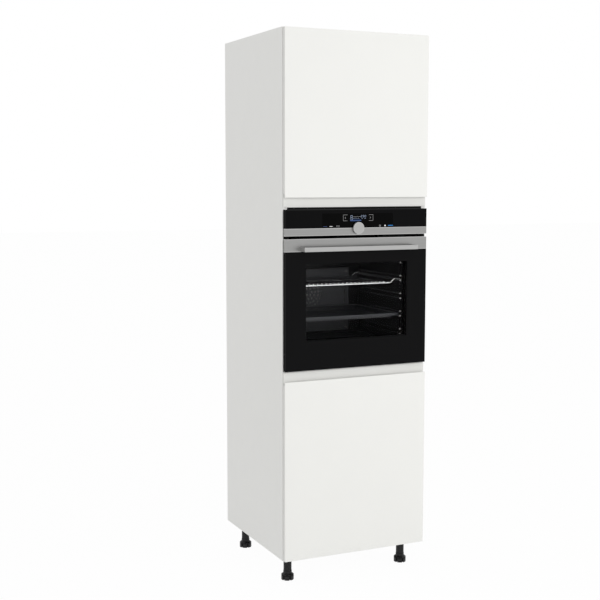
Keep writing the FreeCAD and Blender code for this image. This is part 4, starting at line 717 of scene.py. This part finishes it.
def ring_mark(x, z, radius, width):
    """A printed ring."""
    angle = np.linspace(0, 2 * np.pi, 24, endpoint=False)
    path = np.stack([x * MM + radius * MM * np.cos(angle), 0 * angle + glass_face,
                     z * MM + radius * MM * np.sin(angle)], -1)
    return tube(path, width / 2 * MM, (0, -1, 0), 6, squash=PRINT / (width / 2 * MM))


SEGMENTS = {"a": (0, 2, 1, 2), "b": (1, 1, 1, 2), "c": (1, 0, 1, 1), "d": (0, 0, 1, 0),
            "e": (0, 0, 0, 1), "f": (0, 1, 0, 2), "g": (0, 1, 1, 1)}
DIGITS = {"0": "abcdef", "2": "abged", "3": "abgcd", "8": "abcdefg"}


def digit(name, x, z, width, half_height, weight):
    """A seven-segment figure whose lower left corner is at x, z."""
    gap = weight * 0.55
    bars = []
    for segment in DIGITS[name]:
        x0, z0, x1, z1 = SEGMENTS[segment]
        along_x = x1 > x0
        dx, dz = (gap, 0) if along_x else (0, gap)
        bars.append(stroke(x + x0 * width + dx, z + z0 * half_height + dz,
                           x + x1 * width - dx, z + z1 * half_height - dz, weight))
    return bars


def display_marks():
    """A figure, a time and plain bars for the menu line, two touch fields and a row of marks."""
    top = fascia_high[2] / MM
    figures = digit("8", -30, top - 39.5, 7, 8, 1.4)
    for index, name in enumerate("230"):
        figures += digit(name, 12.5 + 8 * index, top - 30, 5, 3.3, 1.1)
    figures += [stroke(x, top - 34, x + 6, top - 34, 1.1) for x in (-19, -10, -1)]
    figures += [stroke(16, top - 35, 20, top - 35, 1.1), stroke(28, top - 35, 33, top - 35, 1.1)]
    build("display_figures", figures, "cabinet", lit("display_white", "#8390A6", 0.3))
    build("display_bar", [stroke(-30, top - 42, 12, top - 42, 5)], "cabinet",
          lit("display_dim_blue", "#1C3A6A", 0.3))
    build("display_dash", [stroke(129, top - 62.4, 149, top - 62.4, 2.2)], "cabinet",
          lit("display_blue", "#1F6FB0", 0.6))
    fields = [stroke(-20, top - 28, 11, top - 28, 0.8), ring_mark(94, top - 63, 3.0, 1.6),
              stroke(-90, top - 61, -76, top - 61, 1), stroke(-90, top - 65, -76, top - 65, 1)]
    for side, near, far in ((-1, 44, 61), (1, 47, 64)):
        for level in (top - 43, top - 21):
            fields.append(stroke(side * near, level, side * far, level, 1))
        fields.append(stroke(side * far, top - 43, side * far, top - 21, 1))
        for way in (-1, 1):
            fields.append(stroke(side * 54.5, top - 32, side * 51, top - 32 + way * 3, 1.1))
    # printed marks with a faint glow: painted light
    build("touch_fields", fields, "cabinet", lit("printed_grey_painted_glow", "#8A8A8A", 0.3))
    build("dim_mark", [stroke(-143, top - 63, -128, top - 63, 1)], "cabinet",
          lit("printed_blue_painted_glow", "#3A4A78", 0.4))
    row = [stroke(-117, top - 63, -106, top - 63, 2), stroke(115.4, top - 63, 116, top - 63, 6)]
    build("small_marks", row, "cabinet", lit("printed_white_painted_glow", "#C8C8C8", 0.45))


def knob_details():
    """A fine bright ring round the knob's face, and the dark seat it turns in."""
    knob_low, knob_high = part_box("control_knob")
    face = knob_low[1]
    centre = (0, face, (knob_low[2] + knob_high[2]) / 2)
    radius = (knob_high[0] - knob_low[0]) / 2
    angle = np.linspace(0, 2 * np.pi, 64, endpoint=False)
    path = np.stack([(radius - 0.9 * MM) * np.cos(angle), 0 * angle + face + 0.35 * MM,
                     centre[2] + (radius - 0.9 * MM) * np.sin(angle)], -1)
    build("knob_rim", [tube(path, 0.5 * MM, (0, -1, 0), 8)], "control_knob",
          CHROME)
    skirt = turned([radius - 4 * MM, radius - 1.2 * MM, radius - 1.2 * MM, radius - 4 * MM,
                    radius - 4 * MM], [0, 0, 0.9 * MM, 0.9 * MM, 0], 48)
    build("knob_seat", [lay(skirt, (0, glass_face, centre[2]), FRONT)], "cabinet",
          BLACK)


display_marks()
knob_details()


# ------------------------------------------------------------- oven door

AIR_SLOT_PITCH = 26 * MM


def door_details():
    """Screws of the inner frame, clips at the corners of the inner glass and top air slots, the
    slots drawn as flat black patches of painted shade.
    """
    frame_low, frame_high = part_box("oven_door_frame")
    back = frame_high[1]
    inner_low, inner_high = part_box("oven_door_inner_glass")
    screws = []
    for x in (frame_low[0] + 9 * MM, frame_high[0] - 9 * MM):
        for z in (frame_low[2] + 40 * MM, frame_high[2] - 24 * MM):
            screws.append(lay(domed(3.4 * MM, 0.28 * MM, 0.15 * MM, 24), (x, back, z), REAR))
            screws.append(lay(domed(1.3 * MM, 0.29 * MM, 0.05 * MM, 6), (x, back, z), REAR))
    build("door_frame_screws", screws, "oven_door", NICKEL)
    high_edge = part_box("oven_door_strip")[1]
    slot_shades = []
    for index in range(-9, 10):
        slot = cushioned(18 * MM, 2.6 * MM, 0.12 * MM, 1.2 * MM, 0.05 * MM, 4)
        slot_shades.append(lay(slot, (index * AIR_SLOT_PITCH, high_edge[1] - 4.5 * MM, high_edge[2]), UP))
    # painted shade: black patches stand for the dark air slots
    build("door_slot_shade", slot_shades, "oven_door", BLACK)
    clips = []
    for side in (-1, 1):
        for z in (inner_low[2], inner_high[2]):
            x = inner_high[0] * side
            clip = cushioned(26 * MM, 7 * MM, 0.28 * MM, 2 * MM, 0.12 * MM, 4)
            clips.append(lay(clip, (x - side * 16 * MM, back, z), REAR))
    build("pane_clips", clips, "oven_door", BLACK)


door_details()


# ------------------------------------------------------------- oven cavity

def seal_cord():
    """The door seal as a flattened woven cord round the cavity's mouth."""
    low_corner, high_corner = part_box("oven_door_seal")
    width = high_corner[0] - low_corner[0]
    height = high_corner[2] - low_corner[2]
    thick = high_corner[1] - low_corner[1]
    outline = rounded_outline(width - 8 * MM, height - 8 * MM, 14 * MM, 10)
    centre_z = (low_corner[2] + high_corner[2]) / 2
    path = np.stack([outline[:, 0], 0 * outline[:, 0] + (low_corner[1] + high_corner[1]) / 2,
                     outline[:, 1] + centre_z], -1)
    cord = tube(path, 3.8 * MM, (0, -1, 0), 12, squash=thick / 2 / (3.8 * MM))
    piece = build("door_seal_cord", [cord], "cabinet",
                  bpy.data.materials["woven_seal"])
    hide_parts("oven_door_seal")


def lamp_details():
    """Chrome ring and pressed ribs of the lamp cover, on the rear wall."""
    low_corner, high_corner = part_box("oven_lamp")
    radius = (high_corner[0] - low_corner[0]) / 2
    centre = ((low_corner[0] + high_corner[0]) / 2, low_corner[1],
              (low_corner[2] + high_corner[2]) / 2)
    collar = turned([radius + 0.2 * MM, radius + 4 * MM, radius + 3 * MM, radius + 0.2 * MM,
                     radius + 0.2 * MM], [-11.8 * MM, -11.8 * MM, -5 * MM, -4 * MM, -11.8 * MM],
                    40)
    build("lamp_collar", [lay(collar, centre, FRONT)], "cabinet", CHROME)
    ribs = [lay(turned([r * MM, (r + 1.2) * MM, (r + 0.6) * MM, r * MM],
                       [-0.1 * MM, -0.1 * MM, 0.8 * MM, -0.1 * MM], 36), centre, FRONT)
            for r in (6, 12, 18, 23)]
    build("lamp_ribs", ribs, "cabinet", bpy.data.materials["lamp_glass"])


def cover_details():
    """Screws and a pressed bead on the fan cover, and nuts that hold the side rails."""
    low_corner, high_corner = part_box("fan_cover")
    face = low_corner[1]
    screws = []
    for x in (low_corner[0] + 12 * MM, high_corner[0] - 12 * MM):
        for z in (low_corner[2] + 12 * MM, high_corner[2] - 12 * MM):
            screws.append(lay(domed(4.2 * MM, 2.2 * MM, 1.2 * MM, 20), (x, face, z), FRONT))
            screws.append(lay(stacked(1.0 * MM, 5.4 * MM, 0.2 * MM, [0, 0],
                                      [2.0 * MM, 2.26 * MM], 2), (x, face, z), FRONT))
    build("fan_cover_screws", screws, "cabinet", NICKEL)
    outline = rounded_outline(high_corner[0] - low_corner[0] - 44 * MM,
                              high_corner[2] - low_corner[2] - 18 * MM, 16 * MM, 8)
    path = np.stack([outline[:, 0], 0 * outline[:, 0] + face,
                     outline[:, 1] + (low_corner[2] + high_corner[2]) / 2], -1)
    build("fan_cover_bead", [tube(path, 1.6 * MM, (0, -1, 0), 8, squash=0.5)],
          "cabinet", PAINTED_LIGHT_COVER_COAT)
    rail_low, rail_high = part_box("rack_rails")
    nuts = []
    for side, facing in ((-1, RIGHT), (1, LEFT)):
        wall = rail_high[0] * side
        for y in (rail_low[1] + 12 * MM, rail_high[1] - 12 * MM):
            for z in (rail_low[2] + 19.25 * MM, rail_low[2] + 227.75 * MM):
                nuts.append(lay(domed(6 * MM, 4 * MM, 1 * MM, 20), (wall, y, z), facing))
    build("rail_nuts", nuts, "cabinet", HEATER)


RISES = (0, 18.5, 69.5, 88, 139, 157.5, 208.5, 227, 278)    # runner wires above the lowest, mm
GRID_PITCH = 17.7 * MM          # between the rack's grid wires


def rail_ends():
    """Upset ends of the runner wires, bright from the rack that slides over them, and the dull
    hooks by which each level hangs beside them."""
    rail_low, rail_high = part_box("rack_rails")
    runner = rail_high[0] - RAIL_TO_WALL
    ends, hooks = [], []
    for rise in RISES:
        z = rail_low[2] + (9.4 + rise) * MM
        for side in (-1, 1):
            ends.append(lay(domed(3.2 * MM, 3.6 * MM, 1.2 * MM, 20),
                            (side * (runner + 0.6 * MM), rail_low[1] + 0.6 * MM, z), FRONT))
            hooks.append(lay(domed(1.7 * MM, 4 * MM, 0.8 * MM, 16),
                             (side * (rail_high[0] - 2.0 * MM), rail_low[1] + 4 * MM, z),
                             FRONT))
    build("rail_ends", ends, "cabinet", CUT)
    build("rail_hooks", hooks, "cabinet", STEEL)


def rack_ends():
    """The upset front ends of the rack's grid wires, on top of its front bar."""
    rack_low, rack_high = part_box("wire_rack")
    level = rack_high[2] - 13.3 * MM
    ends = [lay(domed(2.9 * MM, 1.8 * MM, 0.8 * MM, 20),
                (index * GRID_PITCH, rack_low[1] + 0.4 * MM, level), FRONT)
            for index in range(-9, 10)]
    build("rack_wire_ends", ends, "wire_rack", CUT)


def grill_clips():
    """Two sheet brackets that hang the grill heater from the cavity's roof."""
    heater_low, heater_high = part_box("grill_heater")
    roof = heater_high[2] + 12.6 * MM
    clips = []
    for y in (heater_low[1] + 60 * MM, heater_high[1] - 90 * MM):
        width = heater_high[0] - heater_low[0] + 8 * MM
        bar = cushioned(width, 9 * MM, 1.2 * MM, 2 * MM, 0.4 * MM, 4)
        clips.append(lay(bar, (0, y, heater_low[2]), DOWN))
        for side in (-1, 1):
            hanger = cushioned(9 * MM, roof - heater_low[2], 1.2 * MM, 1 * MM, 0.4 * MM, 3)
            clips.append(lay(hanger, (side * width / 2, y, (roof + heater_low[2]) / 2),
                             RIGHT if side > 0 else LEFT))
    build("grill_brackets", clips, "cabinet", HEATER)


seal_cord()
lamp_details()
cover_details()
rail_ends()
rack_ends()
grill_clips()


# ------------------------------------------------------------- cabinet fittings

HINGE_LEVELS = (0.190, 0.7035, 1.5305, 1.972)


def hinge_details():
    """Adjusting screws on the hinge arms, and the damper block inside each cup."""
    arm_low, arm_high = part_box("hinge_arms")
    face = arm_low[0]
    screws, slot_shades = [], []
    for z in HINGE_LEVELS:
        for y, radius in ((arm_low[1] + 20 * MM, 3.0), (arm_high[1] - 14 * MM, 3.6)):
            screws.append(lay(domed(radius * MM, 1.0 * MM, 0.4 * MM, 20), (face, y, z), LEFT))
            for size in ((0.8, 1.5 * radius), (1.5 * radius, 0.8)):
                slot_shades.append(lay(stacked(size[0] * MM, size[1] * MM, 0.2 * MM, [0, 0],
                                         [0.9 * MM, 1.03 * MM], 2), (face, y, z), LEFT))
    build("hinge_screws", screws, "cabinet", NICKEL)
    # painted shade: black bars stand for the shade in the screw slots
    build("hinge_slot_shade", slot_shades, "cabinet", BLACK)
    for door, chosen in (("lower", HINGE_LEVELS[:2]), ("upper", HINGE_LEVELS[2:])):
        cup_low, cup_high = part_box(f"{door}_hinge_cups")
        back = cup_high[1]
        centre_x = cup_low[0] + 17.4 * MM
        blocks = [lay(cushioned(16 * MM, 9 * MM, 7 * MM, 2 * MM, 1 * MM, 4),
                      (centre_x - 6 * MM, back - 11.4 * MM, z), REAR) for z in chosen]
        build(f"{door}_cup_dampers", blocks, f"{door}_door", BLACK)
        heads = []
        for z in chosen:
            for way in (-1, 1):
                heads.append(lay(domed(3.2 * MM, 0.35 * MM, 0.2 * MM, 20),
                                 (centre_x, back, z + way * 22 * MM), REAR))
        build(f"{door}_cup_screws", heads, f"{door}_door", NICKEL)


def cam_faces():
    """Cross recesses in the faces of the cam locks, under each fixed board, drawn as thin black
    crosses of painted shade.
    """
    bars = []
    for board in ("bottom_panel", "shelf_under_oven", "shelf_over_oven", "top_panel"):
        low_corner, high_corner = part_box(board)
        for side in (-1, 1):
            for y in (low_corner[1] + 60 * MM, high_corner[1] - 60 * MM):
                centre = (side * (high_corner[0] - 34 * MM), y, low_corner[2])
                for size in ((7, 1.3), (1.3, 7)):
                    bars.append(lay(stacked(size[0] * MM, size[1] * MM, 0.3 * MM, [0, 0],
                                            [-0.1 * MM, 0.06 * MM], 2), centre, DOWN))
    build("cam_recess_shade", bars, "cabinet", BLACK)


def leg_gussets():
    """Four thin webs that brace each leg tube to its flange."""
    tube_radius, reach, drop, thick = 14.5 * MM, 29 * MM, 22 * MM, 1.6 * MM
    for name in legs:
        low_corner, high_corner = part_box(name)
        x0 = (low_corner[0] + high_corner[0]) / 2
        y0 = (low_corner[1] + high_corner[1]) / 2
        flange = high_corner[2] - 4 * MM
        webs = []
        for quarter in range(4):
            angle = math.pi / 4 + quarter * math.pi / 2
            way = np.array([math.cos(angle), math.sin(angle), 0])
            side = np.array([-math.sin(angle), math.cos(angle), 0])
            along = np.linspace(tube_radius - 0.6 * MM, reach, 8)
            depth = drop * (1 - (along - along[0]) / (along[-1] - along[0])) ** 1.6
            top = np.stack([along, 0 * along + flange, 0 * along], -1)
            low_edge = np.stack([along, flange - depth - 0.4 * MM, 0 * along], -1)
            loops = []
            for offset in (-thick / 2, thick / 2):
                for edge in (top, low_edge):
                    loops.append(np.array([x0, y0, 0]) + edge[:, :1] * way
                                 + edge[:, 1:2] * np.array([0, 0, 1.0]) + offset * side)
            ring = np.stack([loops[0], loops[1], loops[3], loops[2]], 1)
            ends = [np.repeat(ring[index].mean(0)[None, None, :], 4, 1) for index in (0, -1)]
            webs.append((np.concatenate([ends[0], ring, ends[1]]), False, True))
        build(name + "_gussets", webs, "cabinet", BLACK)


hinge_details()
cam_faces()
leg_gussets()


# ------------------------------------------------------------- back of the oven

def rear_cover():
    """The casing's pressed rear cover: a shallow raised panel, its screws and a blank plate."""
    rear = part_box("oven_casing")[1][1]
    body_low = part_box("shelf_under_oven")[1][2]
    width, height = 430 * MM, 330 * MM
    centre_z = body_low + 250 * MM
    panel = cushioned(width, height, 3 * MM, 24 * MM, 2.5 * MM, 8)
    build("rear_cover_panel", [lay(panel, (0, rear, centre_z), REAR)], "cabinet",
          bpy.data.materials["galvanised"])
    screws = []
    for x in (-252, -126, 0, 126, 252):
        for z in (body_low + 18 * MM, body_low + 500 * MM):
            screws.append(lay(domed(4 * MM, 2 * MM, 1.2 * MM, 20), (x * MM, rear, z), REAR))
    for x in (-262, 262):
        for z in (150, 290, 430):
            screws.append(lay(domed(4 * MM, 2 * MM, 1.2 * MM, 20),
                              (x * MM, rear, body_low + z * MM), REAR))
    build("rear_screws", screws, "cabinet", NICKEL)
    plate = cushioned(88 * MM, 46 * MM, 0.4 * MM, 3 * MM, 0.2 * MM, 4)
    build("blank_plate", [lay(plate, (-120 * MM, rear + 3 * MM, centre_z + 96 * MM), REAR)],
          "cabinet", STAINLESS)
    terminal_low, terminal_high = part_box("mains_terminal")
    centre = [(a + b) / 2 for a, b in zip(terminal_low, terminal_high)]
    inlet = turned([5.5 * MM, 9 * MM, 8 * MM, 5.5 * MM, 5.5 * MM],
                   [0, 0, 2.5 * MM, 2.5 * MM, 0], 32)
    lid_screws = [lay(domed(3 * MM, 1.4 * MM, 0.8 * MM, 20),
                      (centre[0] + x * MM, terminal_high[1], centre[2]), REAR) for x in (-27, 27)]
    build("terminal_screws", lid_screws, "cabinet", NICKEL)
    build("inlet_collar", [lay(inlet, (centre[0], terminal_high[1], centre[2]), REAR)], "cabinet",
          BLACK)


rear_cover()
